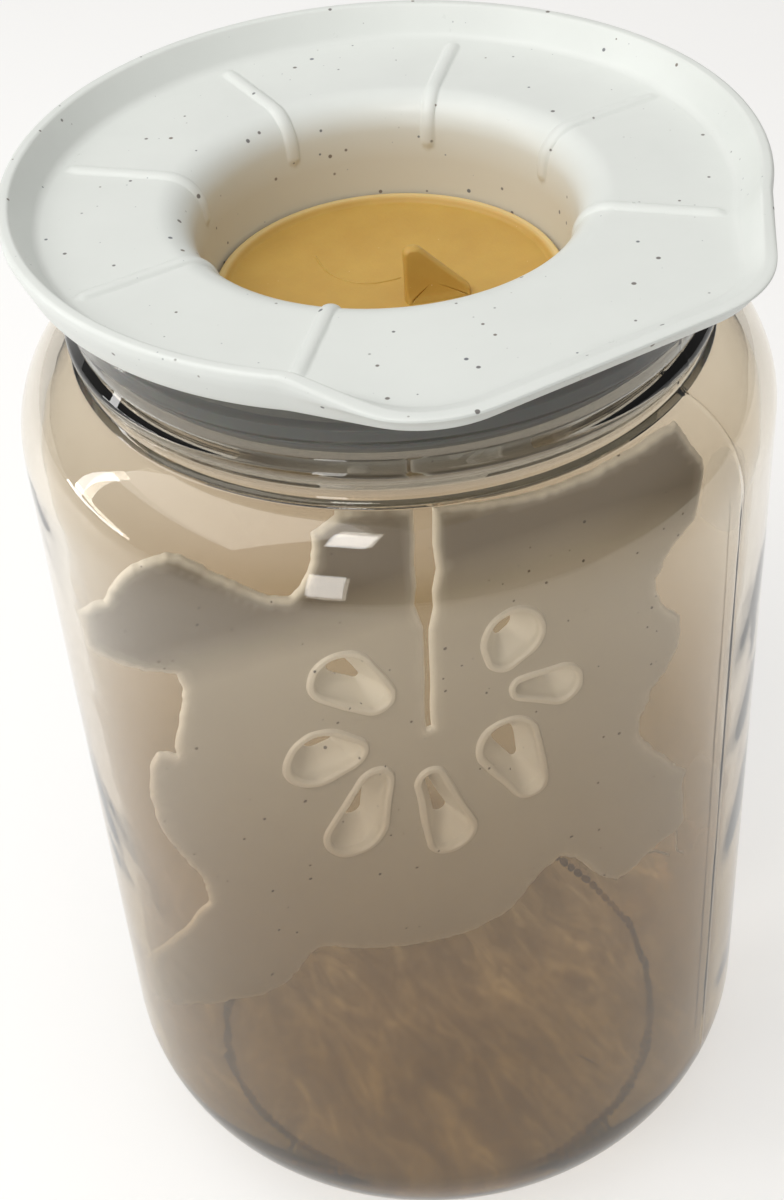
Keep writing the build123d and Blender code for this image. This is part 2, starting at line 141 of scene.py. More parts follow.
def number(name, description, default):
    """A whole number of like things."""
    return bpy.props.IntProperty(name=name, description=description, default=default, min=0)


def power(name, description, default):
    """Power of a lamp."""
    return bpy.props.FloatProperty(name=name, description=description, default=default, min=0.0, unit="POWER")


def colour(name, description, default):
    """A linear colour that shows as a swatch in the sidebar."""
    return bpy.props.FloatVectorProperty(
        name=name, description=description, default=default, min=0.0, max=1.0, size=3, subtype="COLOR"
    )


class GlassSettings(bpy.types.PropertyGroup):
    """Sizes and tint of the glass jar."""

    radius: length("Radius", "Outer radius of the straight glass wall", 0.06498)
    height: length("Height", "Height of the glass lip above the table", JAR_TOP)
    wall: length("Wall", "Thickness of the straight wall", 0.0032)
    floor: length("Floor", "Height of the inner floor above the table", 0.0055)
    heel: length("Heel", "Outer radius of the rounded heel", 0.026)
    inner_heel: length("Inner heel", "Inner radius of the rounded heel", 0.013)
    shoulder: length("Shoulder", "Outer radius of the rounded shoulder", 0.0175)
    neck_radius: length("Neck radius", "Outer radius of the neck", 0.053)
    neck_height: length("Neck height", "Height of the neck up to the lip", 0.0197)
    neck_bead: length("Neck bead", "How far the bead round the neck stands out from it", 0.0019)
    lip_proud: length("Lip", "How far the lip stands out from the neck", 0.0015)
    lip_height: length("Lip height", "Height of the lip", 0.0083)
    wave: length("Wave", "Height of the soft waves of the inner wall", 0.00016)
    seam: length("Seam", "Height of the mould seams", 0.00006)
    seam_width: length("Seam width", "Half width of the mould seams", 0.00045)
    seam_angle: angle("Seam angle", "Azimuth of one mould seam, the other is opposite", -63.5)
    push_up: length("Push-up", "Height of the hollow underside above the table", 0.0009)
    push_up_slope: length("Push-up slope", "Width of the hollow's sloping edge", 0.0122)
    resting_ring: length("Resting ring", "Width of the flat ring that the glass stands on", 0.0058)
    knurls: number("Knurls", "Number of small bumps round the resting ring", 64)
    knurl: length("Knurl", "Height of one bump of the resting ring", 0.00042)
    knurl_ring: length("Knurl ring", "Radius of the resting ring's bumps", 0.0386)
    beads: number("Beads", "Number of small beads round the heel", 150)
    bead_ring: length("Bead ring", "Radius of the ring of beads on the heel", 0.0487)
    bead: length("Bead", "Radius of one bead", 0.0010)
    # Painted shade and light seen through the clear glass: a brown tint, darker at the foot and neck and
    # paler at the shoulder.
    tint: colour("Tint", "Colour of light through the body", (0.55, 0.45, 0.33))
    foot_painted_shade: colour("Foot tint", "Colour of light through the foot", (0.40, 0.30, 0.17))
    shoulder_painted_light: colour("Shoulder tint", "Colour of light through the shoulder", (0.86, 0.80, 0.70))
    neck_painted_shade: colour("Neck tint", "Colour of light through the neck", (0.30, 0.30, 0.28))


class LidSettings(bpy.types.PropertyGroup):
    """Sizes and colours of the lid and its gasket."""

    radius: length("Radius", "Outer radius of the rim", 0.0615)
    reach: length("Reach", "Distance from the axis to the pouring edge", 0.0624)
    spout_half_width: length("Spout half width", "Half the width between the spout's corners", 0.0296)
    floor_height: length("Floor height", "Height of the tray's floor above the table", 0.2066)
    rim_height: length("Rim height", "Height of the rim above the table", LID_TOP)
    pour_height: length("Pour height", "Height of the pouring edge above the table", 0.2082)
    well_radius: length("Well radius", "Radius of the well below its rounded mouth", 0.0312)
    well_round: length("Well round", "Radius of the well's rounded mouth", 0.006)
    wall: length("Wall", "Thickness of the tray's floor", 0.002)
    ledge_radius: length("Ledge radius", "Radius of the well's open bottom", 0.0266)
    ledge_width: length("Ledge width", "Width of the ledge round the well's open bottom", 0.0032)
    ledge_height: length("Ledge height", "Height of the well's ledge above the table", 0.1879)
    plug_radius: length("Plug radius", "Outer radius of the plug in the glass mouth", 0.0479)
    plug_foot: length("Plug foot", "Height of the plug's foot above the table", 0.1903)
    plug_wall: length("Plug wall", "Thickness of the plug's wall", 0.003)
    groove: length("Groove", "Depth of the gasket's groove", 0.001)
    rib_half_width: length("Rib half width", "Half the width of a radial rib", 0.00125)
    rib_height: length("Rib height", "Height of a radial rib above the floor", 0.0006)
    rib_end: length("Rib end", "Distance from the axis to a rib's outer end", 0.053)
    plastic: colour("Plastic", "Base colour of the speckled plastic", (0.78, 0.81, 0.78))
    # Painted shade: the plastic in the well and under the tray is painted darker from the well's mouth
    # downwards, where it lies in shade.
    painted_shade: colour("Painted_shade", "Colour of the plastic inside the well", (0.64, 0.61, 0.52))
    painted_shade_from: length("Stain from", "Height where the stain inside the well begins", 0.2055)
    painted_shade_to: length("Stain to", "Height where the stain inside the well is full", 0.196)
    speck: colour("Speck", "Colour of the dark specks", (0.10, 0.12, 0.15))
    silicone: colour("Gasket", "Colour of the gasket's clear silicone", (0.82, 0.81, 0.77))


class StopperSettings(bpy.types.PropertyGroup):
    """Sizes and colour of the well stopper."""

    radius: length("Radius", "Outer radius of the disc", STOPPER_RADIUS)
    foot: length("Foot", "Height of the disc's underside above the table", STOPPER_FOOT)
    thickness: length("Thickness", "Thickness of the disc at its lip", 0.0018)
    dish: length("Dish", "How deep the disc's middle lies below its lip", 0.001)
    tab_length: length("Tab length", "Length of the tab along its foot", 0.011)
    tab_height: length("Tab height", "Height of the tab above the disc's lip", 0.0089)
    tab_thickness: length("Tab thickness", "Thickness of the tab", 0.0023)
    tab_right: length("Tab right", "How far the tab's middle is to the right of the axis", 0.0046)
    tab_front: length("Tab front", "How far the tab's middle is in front of the axis", 0.0075)
    tab_turn: angle("Tab turn", "Azimuth of the tab's length", -20.0)
    silicone: colour("Silicone", "Colour of the yellow silicone", (0.58, 0.365, 0.085))


class PlateSettings(bpy.types.PropertyGroup):
    """Sizes and colours of the torn drain plate."""

    half_chord: length("Half chord", "Half the width of the jar where the plate stands", 0.0614)
    foot: length("Foot", "Height of the plate's lowest place above the table", 0.025)
    rise: length("Rise", "Height of the plate above its foot", 0.126)
    offset: length("Offset", "Distance of the plate's back from the axis, towards the spout", 0.0033)
    thickness: length("Thickness", "Thickness of the plate", 0.0016)
    turn: angle("Turn", "Azimuth of the plate's width", -10.1)
    hole_x: length("Holes' middle across", "Middle of the holes' ring, along the plate", 0.0019)
    hole_z: length("Holes' middle height", "Height of the middle of the holes' ring", 0.0918)
    hole_ring: length("Hole ring", "Distance of each hole from the middle", 0.0234)
    hole_narrow: share("Narrow end", "Radius of a hole's narrow end over its wide end's", 0.62)
    hole_taper: share("Hole taper", "Size of a hole's back opening over its front", 0.5)
    collar: length("Collar", "How far a hole's collar reaches behind the plate", 0.004)
    roughness: length("Roughness", "Height of the torn edge's unevenness", 0.00016)
    thread: length("Thread", "Radius of a torn thread", 0.00032)
    slit_foot: length("Slit foot height", "Height of the slit's lower end", 0.0905)
    slit_narrow: length("Slit foot", "Half width of the slit below", 0.00065)
    slit_wide: length("Slit top", "Half width of the slit above", 0.002)
    slit_lean: length("Slit lean", "How far the slit's foot is to the left of its top", 0.0018)
    # Painted shade: the plate's plastic is painted darker than the lid's, as it stands in the shade inside
    # the jar.
    plastic: colour("Plastic", "Base colour of the plate", (0.66, 0.63, 0.56))
    # Painted shade: the plate's top, in the lid's shadow, is painted darker between two heights.
    painted_shade: colour("Painted_shade", "Colour of the plate's top", (0.27, 0.24, 0.20))
    painted_shade_from: length("Stain from", "Height where the top's stain begins", 0.120)
    painted_shade_to: length("Stain to", "Height where the top's stain is full", 0.132)
    speck: colour("Speck", "Colour of the dark specks", (0.07, 0.06, 0.055))
    # Painted light: the torn edges and the holes' lips and inner walls are painted paler, as where light
    # catches them.
    torn: colour("Torn edge", "Colour of the torn edge and of the holes' lips", (0.95, 0.93, 0.87))


class StageSettings(bpy.types.PropertyGroup):
    """Floor, lamps and camera."""

    floor: colour("Floor", "Colour of the floor", (0.86, 0.86, 0.855))
    lamp: colour("Lamp", "Colour of the lamps", (1.0, 0.99, 0.98))
    key: power("Key", "Power of the large soft lamp", 4.6)
    window: power("Window", "Power of the window's panes", 2.2)
    fill: power("Fill", "Power of the back windows", 1.0)
    sky: share("Sky", "Strength of the surroundings", 0.58)
    lens: bpy.props.FloatProperty(
        name="Lens", description="Focal length of the camera on a 36 mm wide sensor", default=89.85
    )
    camera: bpy.props.FloatVectorProperty(
        name="Camera", description="Place of the camera", default=(-0.13984, -0.24517, 0.36104), subtype="XYZ"
    )
    heading: angle("Heading", "Azimuth in which the camera looks, from +Y towards +X", 28.98)
    pitch: angle("Pitch", "How far the camera looks down", 40.497)
    roll: angle("Roll", "How far the camera is turned about its own line of sight", -4.197)


def settings(name):
    """The scene's property group of one part of the jar."""
    return getattr(bpy.context.scene, "jar_" + name)


# Shapes as arrays


def divided(path, run, closed=False):
    """Path with each stretch longer than run cut into equal parts, by straight mixing of its two ends."""
    ends = np.roll(path, -1, 0) if closed else path[1:]
    starts = path if closed else path[:-1]
    parts = np.maximum(1, np.ceil(np.linalg.norm(ends - starts, axis=1) / run)).astype(int)
    place = np.repeat(np.arange(len(parts)), parts)
    along = (np.arange(len(place)) - np.repeat(np.cumsum(parts) - parts, parts)) / parts[place]
    cut = starts[place] + (ends - starts)[place] * along[:, None]
    return cut if closed else np.vstack([cut, path[-1:]])


def rounded(corners, run, closed=False, turn_step=9.0):
    """Path through (x, y, radius) corners: each corner becomes an arc of that radius that touches both
    of its straight neighbours, drawn as a turn about the arc's centre in steps of at most turn_step
    degrees, and the rest is divided by run."""
    corners = np.array(corners, float)
    points, radii = corners[:, :2], corners[:, 2]
    pieces = []
    for i, radius in enumerate(radii):
        if radius == 0 or (not closed and i in (0, len(radii) - 1)):
            pieces.append(points[i : i + 1])
            continue
        back = points[i - 1] - points[i]
        ahead = points[(i + 1) % len(points)] - points[i]
        back, ahead = back / np.linalg.norm(back), ahead / np.linalg.norm(ahead)
        half = math.acos(np.clip(back @ ahead, -1, 1)) / 2
        middle = back + ahead
        centre = points[i] + middle / np.linalg.norm(middle) * radius / math.sin(half)
        first = points[i] + back * radius / math.tan(half) - centre
        last = points[i] + ahead * radius / math.tan(half) - centre
        turn = math.pi - 2 * half
        steps = max(4, int(math.ceil(turn / math.radians(turn_step))), int(math.ceil(turn * radius / run)))
        t = np.linspace(0, 1, steps + 1)[:, None]
        pieces.append(centre + (np.sin((1 - t) * turn) * first + np.sin(t * turn) * last) / math.sin(turn))
    return divided(np.vstack(pieces), run, closed)


def smooth_run(points, step):
    """Curve through a few points: on each stretch a cubic mix of its ends and of the slopes there, which
    are half the way from the point before to the point after."""
    points = np.array(points, float)
    slopes = np.gradient(points, axis=0)
    slopes[0] = 1.5 * (points[1] - points[0]) - 0.5 * slopes[1]
    slopes[-1] = 1.5 * (points[-1] - points[-2]) - 0.5 * slopes[-2]
    gaps = np.linalg.norm(np.diff(points, axis=0), axis=1)
    parts = np.maximum(2, np.ceil(gaps / step)).astype(int)
    place = np.repeat(np.arange(len(parts)), parts)
    t = ((np.arange(len(place)) - np.repeat(np.cumsum(parts) - parts, parts)) / parts[place])[:, None]
    a, b, ma, mb = points[place], points[place + 1], slopes[place], slopes[place + 1]
    curve = (2 * t**3 - 3 * t**2 + 1) * a + (t**3 - 2 * t**2 + t) * ma
    curve += (3 * t**2 - 2 * t**3) * b + (t**3 - t**2) * mb
    return np.vstack([curve, points[-1:]])


def smoothstep(t):
    """Soft step: three t squared less two t cubed, with t held between nought and one."""
    t = np.clip(t, 0, 1)
    return t * t * (3 - 2 * t)


def even_loop(path, count):
    """Closed path drawn again with evenly spaced points."""
    looped = np.vstack([path, path[:1]])
    along = np.concatenate([[0], np.cumsum(np.linalg.norm(np.diff(looped, axis=0), axis=1))])
    even = np.linspace(0, along[-1], count, endpoint=False)
    return np.stack([np.interp(even, along, looped[:, i]) for i in (0, 1)], 1)


def outward(path):
    """Normals of a closed path that point out of it: its direction turned a quarter, by its area's sign."""
    ahead = np.roll(path, -1, 0)
    forward = ahead - np.roll(path, 1, 0)
    area = (path[:, 0] * ahead[:, 1] - ahead[:, 0] * path[:, 1]).sum()
    normal = np.stack([forward[:, 1], -forward[:, 0]], 1) * np.sign(area)
    return normal / np.linalg.norm(normal, axis=1, keepdims=True)


def hash_noise(seed, count, waves):
    """Repeating uneven line: a sum of sine waves of the given numbers per turn, each with its own fixed
    start worked out from the seed, scaled to a height of about one."""
    turn = np.linspace(0, 2 * np.pi, count, endpoint=False)
    starts = np.modf(np.sin(seed * 12.9898 + np.arange(len(waves)) * 78.233) * 43758.5453)[0] * 6.2832
    heights = 1 / np.sqrt(np.arange(len(waves)) + 1.5)
    return (np.sin(np.outer(turn, waves) + starts) * heights).sum(1) / np.sqrt((heights**2).sum())


def grid_faces(rows, columns, wrap_rows, wrap_columns):
    """Corner numbers of the four-sided faces between neighbours of a grid, numbered row by row."""
    down = np.arange(rows if wrap_rows else rows - 1)[:, None]
    along = np.arange(columns if wrap_columns else columns - 1)[None, :]
    next_down, next_along = (down + 1) % rows, (along + 1) % columns
    corners = [down * columns + along, down * columns + next_along]
    corners += [next_down * columns + next_along, next_down * columns + along]
    return np.stack([np.broadcast_to(c, (down.size, along.size)) for c in corners], -1).reshape(-1, 4)


def put_surface(name, points, faces, values=None):
    """Object of a mesh from points in millimetres and faces with equal numbers of corners. Points that
    meet are merged, and a mesh whose volume, the sum of its corner products, is negative is turned."""
    mesh = bpy.data.meshes.new(name)
    points = np.asarray(points, float).reshape(-1, 3) * MM
    corners = faces.shape[1]
    mesh.vertices.add(len(points))
    mesh.vertices.foreach_set("co", points.astype(np.float32).ravel())
    mesh.loops.add(faces.size)
    mesh.loops.foreach_set("vertex_index", faces.astype(np.int32).ravel())
    mesh.polygons.add(len(faces))
    mesh.polygons.foreach_set("loop_start", np.arange(0, faces.size, corners, dtype=np.int32))
    mesh.update(calc_edges=True)
    for label, value in (values or {}).items():
        mesh.attributes.new(label, "FLOAT", "POINT").data.foreach_set("value", value.astype(np.float32))
    work = bmesh.new()
    work.from_mesh(mesh)
    bmesh.ops.remove_doubles(work, verts=work.verts, dist=2e-7)
    if work.calc_volume(signed=True) < 0:
        bmesh.ops.reverse_faces(work, faces=work.faces)
    work.to_mesh(mesh)
    work.free()
    mesh.polygons.foreach_set("use_smooth", np.ones(len(mesh.polygons), bool))
    piece = bpy.data.objects.new(name, mesh)
    bpy.context.scene.collection.objects.link(piece)
    return piece


def joined(parts):
    """Points and faces of several (points, faces) parts as one pair."""
    counts = np.cumsum([0] + [len(p) for p, _ in parts])
    return np.vstack([p for p, _ in parts]), np.vstack([f + c for (_, f), c in zip(parts, counts)])


def finish_piece(piece, body, node, material, crease=None):
    """Gives a piece its material and its place in the frame."""
    piece.data.materials.append(material)
    if crease:
        piece.data.set_sharp_from_angle(angle=math.radians(crease))
    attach(piece, body)
    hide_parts(node)
    return piece


# Materials


def material_of(name, base, roughness, **sockets):
    """New material whose main shader has the given uniform values on its own sockets."""
    material = bpy.data.materials.new(name)
    material.use_nodes = True
    shader = material.node_tree.nodes["Principled BSDF"]
    shader.inputs["Base Color"].default_value = (*base, 1)
    shader.inputs["Roughness"].default_value = roughness
    for socket, value in sockets.items():
        shader.inputs[socket.replace("_", " ")].default_value = value
    return material, material.node_tree, shader


def add(tree, kind, inputs=None, **values):
    """New node of a kind, with its settings, and its inputs as values or as links from other sockets."""
    node = tree.nodes.new("ShaderNode" + kind)
    for name, value in values.items():
        setattr(node, name, value)
    for socket, value in (inputs or {}).items():
        if isinstance(value, bpy.types.NodeSocket):
            tree.links.new(value, node.inputs[socket])
        else:
            node.inputs[socket].default_value = value
    return node


def ramp(tree, factor, stops):
    """Colour ramp of grey or coloured stops on a factor."""
    node = add(tree, "ValToRGB", {"Fac": factor})
    elements = node.color_ramp.elements
    while len(elements) < len(stops):
        elements.new(0.5)
    for element, (place, value) in zip(elements, stops):
        element.position = place
        element.color = (*value, 1) if isinstance(value, tuple) else (value, value, value, 1)
    return node.outputs["Color"]


def bumped(tree, shader, height, distance, strength=1.0):
    """Links a height to the shader's normal, with its distance in metres."""
    bump = add(tree, "Bump", {"Height": height, "Distance": distance, "Strength": strength})
    tree.links.new(bump.outputs["Normal"], shader.inputs["Normal"])


def mixed(tree, factor, first, second):
    """Mix of two colours by a factor."""
    node = add(tree, "Mix", data_type="RGBA")
    for socket, value in zip((node.inputs[0], node.inputs[6], node.inputs[7]), (factor, first, second)):
        if isinstance(value, bpy.types.NodeSocket):
            tree.links.new(value, socket)
        else:
            socket.default_value = value if isinstance(value, float) else (*value, 1)
    return node.outputs[2]


def object_place(tree):
    """Place on the object in metres, which is the same in every pose."""
    return add(tree, "TexCoord").outputs["Object"]


def dots(tree, cells, size, soft, most):
    """Strength of the dot in the middle of each cell: its size less the distance from the middle, brought
    from nought to the given most over a soft edge."""
    inside = add(tree, "Math", {0: size.outputs[0], 1: cells.outputs["Distance"]}, operation="SUBTRACT")
    edge = add(tree, "MapRange", {"Value": inside.outputs[0], "From Max": soft, "To Max": most})
    return edge.outputs[0]


def away_from_axis(tree, place):
    """Distance from the jar's axis: the length of the place with its height left out."""
    level = add(tree, "VectorMath", {0: place, 1: (1.0, 1.0, 0.0)}, operation="MULTIPLY")
    return add(tree, "VectorMath", {0: level.outputs[0]}, operation="LENGTH").outputs["Value"]


def speckled_plastic(name, base, speck, painted_shade, torn=None):
    """Off-white moulded plastic with sparse dark specks of uneven size, scuffs and faint mottling. The
    specks are the places near the middles of the cells of a three-way cell pattern, each cell with its
    own size of speck and its own brown or slate colour. The painted shade is a colour and the heights where
    it starts and is full, and darkens the plastic by height where it lies in shade. The torn colour, painted
    light, follows the mesh's own attribute."""
    material, tree, shader = material_of(name, base, 0.36, Specular_IOR_Level=0.45)
    place = object_place(tree)
    cells = add(tree, "TexVoronoi", {"Vector": place, "Scale": 265.0, "Randomness": 1.0})
    own = add(tree, "SeparateColor", {"Color": cells.outputs["Color"]})
    size = add(tree, "MapRange", {"Value": own.outputs[0], "To Min": 0.05, "To Max": 0.125})
    edge = dots(tree, cells, size, 0.035, 0.9)
    hue = mixed(tree, own.outputs[1], speck, (0.16, 0.12, 0.09))
    fine = add(tree, "TexVoronoi", {"Vector": place, "Scale": 520.0, "Randomness": 1.0})
    fine_own = add(tree, "SeparateColor", {"Color": fine.outputs["Color"]})
    fine_size = add(tree, "MapRange", {"Value": fine_own.outputs[0], "From Min": 0.6, "To Max": 0.11})
    fine_edge = dots(tree, fine, fine_size, 0.03, 0.5)
    cloud = add(tree, "TexNoise", {"Vector": place, "Scale": 42.0, "Detail": 4.0, "Roughness": 0.6})
    mottling = ramp(tree, cloud.outputs["Fac"], [(0.3, 0.0), (0.7, 1.0)])
    pale = mixed(tree, mottling, tuple(c * 0.955 for c in base), base)
    tone, start, full = painted_shade
    # Painted shade: the colour moves to the shade's tone between two heights.
    parts = add(tree, "SeparateXYZ", {"Vector": place})
    painted_shade_share = add(tree, "MapRange", {"Value": parts.outputs[2], "From Min": start, "From Max": full})
    pale = mixed(tree, painted_shade_share.outputs[0], pale, tone)
    if torn:
        # Painted light on the torn edges and the holes' collars, by the mesh's torn attribute.
        rim = add(tree, "Attribute", attribute_name="torn")
        pale = mixed(tree, rim.outputs["Fac"], pale, torn)
    with_fine = mixed(tree, fine_edge, pale, (0.24, 0.26, 0.29))
    tree.links.new(mixed(tree, edge, with_fine, hue), shader.inputs["Base Color"])
    scuff = add(tree, "TexNoise", {"Vector": place, "Scale": 160.0, "Detail": 6.0, "Roughness": 0.7})
    gloss = ramp(tree, scuff.outputs["Fac"], [(0.3, 0.27), (0.75, 0.44)])
    tree.links.new(gloss, shader.inputs["Roughness"])
    grain = add(tree, "TexNoise", {"Vector": place, "Scale": 900.0, "Detail": 3.0, "Roughness": 0.6})
    bumped(tree, shader, grain.outputs["Fac"], 0.00003, 0.25)
    return material


def clear_glass(tint, foot_painted_shade, shoulder_painted_light, neck_painted_shade):
    """Pressed glass, clear, with a brown tint painted in for the shade and the brown table seen through it:
    painted shade darkens it at the foot and neck, painted light makes the shoulder paler, and painted streaks
    of the table's grain lie in the base; very soft ripples and a faint haze of wear."""
    material, tree, shader = material_of("clear_glass", tint, 0.0, IOR=1.5, Transmission_Weight=1.0)
    place = object_place(tree)
    parts = add(tree, "SeparateXYZ", {"Vector": place})
    height = add(tree, "MapRange", {"Value": parts.outputs[2], "From Max": JAR_TOP})
    # Painted shade at the foot and neck and painted light at the shoulder, by height.
    stops = [(0.3, foot_painted_shade), (0.45, tint), (0.78, shoulder_painted_light), (0.9, shoulder_painted_light), (0.925, neck_painted_shade)]
    by_height = ramp(tree, height.outputs[0], stops)
    stretched = add(tree, "VectorMath", {0: place, 1: (1.0, 0.35, 1.0)}, operation="MULTIPLY")
    look = {"Scale": 110.0, "Detail": 6.0, "Roughness": 0.65, "Distortion": 1.6}
    streaks = add(tree, "TexNoise", {"Vector": stretched.outputs[0], **look})
    # Painted shade in the base, streaked like the grain of the table seen through it.
    base = add(tree, "MapRange", {"Value": parts.outputs[2], "From Min": 0.009, "From Max": 0.0065})
    dark, light = (0.29, 0.20, 0.10), (0.70, 0.56, 0.33)
    painted_base_streaks = ramp(tree, streaks.outputs["Fac"], [(0.34, dark), (0.5, foot_painted_shade), (0.68, light)])
    tree.links.new(mixed(tree, base.outputs[0], by_height, painted_base_streaks), shader.inputs["Base Color"])
    ripple = add(tree, "TexNoise", {"Vector": place, "Scale": 38.0, "Detail": 2.0, "Roughness": 0.45})
    bumped(tree, shader, ripple.outputs["Fac"], 0.0002)
    wear = add(tree, "TexNoise", {"Vector": place, "Scale": 300.0, "Detail": 5.0, "Roughness": 0.7})
    tree.links.new(ramp(tree, wear.outputs["Fac"], [(0.55, 0.0), (0.9, 0.05)]), shader.inputs["Roughness"])
    return material


def yellow_silicone(base):
    """Satin yellow silicone, with its lip painted paler as a painted highlight, soft mottling, pale dust, a
    fine grain and a little light carried under its skin."""
    material, tree, shader = material_of(
        "yellow_silicone", base, 0.42, Subsurface_Weight=0.12, Subsurface_Scale=0.002, Specular_IOR_Level=0.4
    )
    place = object_place(tree)
    cloud = add(tree, "TexNoise", {"Vector": place, "Scale": 90.0, "Detail": 5.0, "Roughness": 0.62})
    deep = tuple(c * k for c, k in zip(base, (0.90, 0.86, 0.8)))
    tone = mixed(tree, ramp(tree, cloud.outputs["Fac"], [(0.32, 0.0), (0.68, 1.0)]), deep, base)
    dust = add(tree, "TexVoronoi", {"Vector": place, "Scale": 620.0, "Randomness": 1.0})
    own = add(tree, "SeparateColor", {"Color": dust.outputs["Color"]})
    size = add(tree, "MapRange", {"Value": own.outputs[0], "From Min": 0.6, "To Max": 0.07})
    dot = dots(tree, dust, size, 0.02, 0.7)
    away = away_from_axis(tree, place)
    # Painted highlight: the disc's rounded lip is painted paler.
    lip = add(tree, "MapRange", {"Value": away, "From Min": 0.0277, "From Max": 0.0285, "To Max": 0.8})
    tone = mixed(tree, lip.outputs[0], tone, (0.80, 0.62, 0.30))
    tree.links.new(mixed(tree, dot, tone, (0.86, 0.74, 0.48)), shader.inputs["Base Color"])
    gloss = ramp(tree, cloud.outputs["Fac"], [(0.3, 0.36), (0.7, 0.5)])
    tree.links.new(gloss, shader.inputs["Roughness"])
    grain = add(tree, "TexNoise", {"Vector": place, "Scale": 1100.0, "Detail": 4.0, "Roughness": 0.65})
    bumped(tree, shader, grain.outputs["Fac"], 0.00008, 0.6)
    return material


def clear_silicone(base):
    """Milky see-through silicone with a fine grain."""
    material, tree, shader = material_of(
        "clear_silicone", base, 0.4, IOR=1.41, Transmission_Weight=0.35, Subsurface_Weight=0.3,
        Subsurface_Scale=0.002,
    )
    place = object_place(tree)
    cloud = add(tree, "TexNoise", {"Vector": place, "Scale": 120.0, "Detail": 4.0, "Roughness": 0.6})
    tone = mixed(tree, cloud.outputs["Fac"], tuple(c * 0.93 for c in base), base)
    tree.links.new(tone, shader.inputs["Base Color"])
    grain = add(tree, "TexNoise", {"Vector": place, "Scale": 1200.0, "Detail": 3.0, "Roughness": 0.6})
    bumped(tree, shader, grain.outputs["Fac"], 0.00005, 0.5)
    return material


# The glass jar


def glass_profile(s):
    """Half section of the glass, from the axis under the floor, out round the heel, up the wall, over the
    shoulder and the lip and back down the inside to the axis: straight runs joined by touching arcs."""
    radius, height, wall = s.radius / MM, s.height / MM, s.wall / MM
    neck, lip = s.neck_radius / MM, (s.neck_radius + s.lip_proud) / MM
    bore, mouth = radius - wall, neck - wall
    arc, top = s.shoulder / MM, height - s.neck_height / MM
    hollow, heel = s.push_up / MM, s.heel / MM
    ring = radius - heel - s.resting_ring / MM
    outer = [(0, hollow, 0), (ring - s.push_up_slope / MM, hollow, 14), (ring, 0, 8), (radius, 0, heel)]
    centre = top - math.sqrt(arc**2 - (neck - radius + arc) ** 2)
    slope = math.atan2(top - centre, neck - radius + arc)
    meet = centre + arc * math.tan(slope / 2)
    bead_foot, bead_middle, bead_top = top + 1.9, top + 4.6, top + 7.4
    lip_foot = height - s.lip_height / MM
    outer += [(radius, meet, arc), (neck, top, 1.6), (neck, bead_foot, 0.8)]
    outer += [(neck + s.neck_bead / MM, bead_middle, 2.2), (neck, bead_top, 0.9)]
    outer += [(neck, lip_foot - 1, 1.2), (lip, lip_foot, 1.2), (lip, height, 2.2), (mouth, height, 1.5)]
    inner_top = centre + math.sqrt((arc - wall) ** 2 - (mouth - radius + arc) ** 2)
    inner_centre = centre - 0.5 * wall
    inner_arc = ((inner_top - inner_centre) ** 2 + (bore - mouth) ** 2) / 2 / (bore - mouth)
    inner_slope = math.atan2(inner_top - inner_centre, mouth - bore + inner_arc)
    inner_meet = inner_centre + inner_arc * math.tan(inner_slope / 2)
    inner = [(mouth, inner_top, 3.0), (bore, inner_meet, inner_arc)]
    inner += [(bore, s.floor / MM, s.inner_heel / MM), (0, s.floor / MM, 0)]
    return rounded(outer + inner, 4.0, turn_step=6.0)


def glass_surface(s):
    """The half section turned about the axis. Its inside has soft waves, products of slow sines of height
    and azimuth, its outside has two narrow mould seams, bell curves of the distance from their azimuths,
    and its resting ring has a row of round bumps, the positive half of a cosine."""
    profile = glass_profile(s)
    r, z = profile[:, :1], profile[:, 1:]
    seam_steps = np.linspace(-1.1, 1.1, 9) * MM / s.radius
    plain = np.linspace(-np.pi, np.pi, 330, endpoint=False)
    seams = [np.mod(s.seam_angle + half + seam_steps + np.pi, 2 * np.pi) - np.pi for half in (0, np.pi)]
    turn = np.unique(np.concatenate([plain, *seams]))[None, :]
    tangent = np.gradient(profile, axis=0)
    normal_r, normal_z = tangent[:, 1:], -tangent[:, :1]
    size = np.hypot(normal_r, normal_z)
    normal_r, normal_z = normal_r / size, normal_z / size
    inside = np.arange(len(r))[:, None] > int(np.argmax(profile[:, 1]))
    wave = np.sin(2 * turn + 0.045 * z) * np.sin(0.031 * z + 1.0) + 0.6 * np.sin(5 * turn + 0.02 * z)
    wave += 0.5 * np.sin(3 * turn - 0.06 * z + 2.0) * np.cos(0.05 * z)
    fade = smoothstep(r / 40) * smoothstep((195 - z) / 20)
    grow = -s.wave / MM * wave * fade * inside
    away = np.abs(np.mod(turn - s.seam_angle + np.pi / 2, np.pi) - np.pi / 2) * r
    seam = np.exp(-((away / (s.seam_width / MM)) ** 2)) * (0.6 + 0.4 * np.cos(turn - s.seam_angle))
    seam = seam * smoothstep((z - 12) / 16) * smoothstep((200 - z) / 4)
    grow = grow + s.seam / MM * seam * ~inside
    ring = np.exp(-(((r - s.knurl_ring / MM) / 2.6) ** 2)) * (z < 6) * ~inside
    bump = np.clip(np.cos(turn * s.knurls), 0, 1) ** 0.7
    lift = s.knurl / MM * ring * (1 - bump)
    out = r + grow * normal_r
    high = np.maximum(z + grow * normal_z + lift, 0)
    points = np.stack([out * np.cos(turn), out * np.sin(turn), high], -1)
    return points.reshape(-1, 3), grid_faces(len(r), turn.size, False, True)


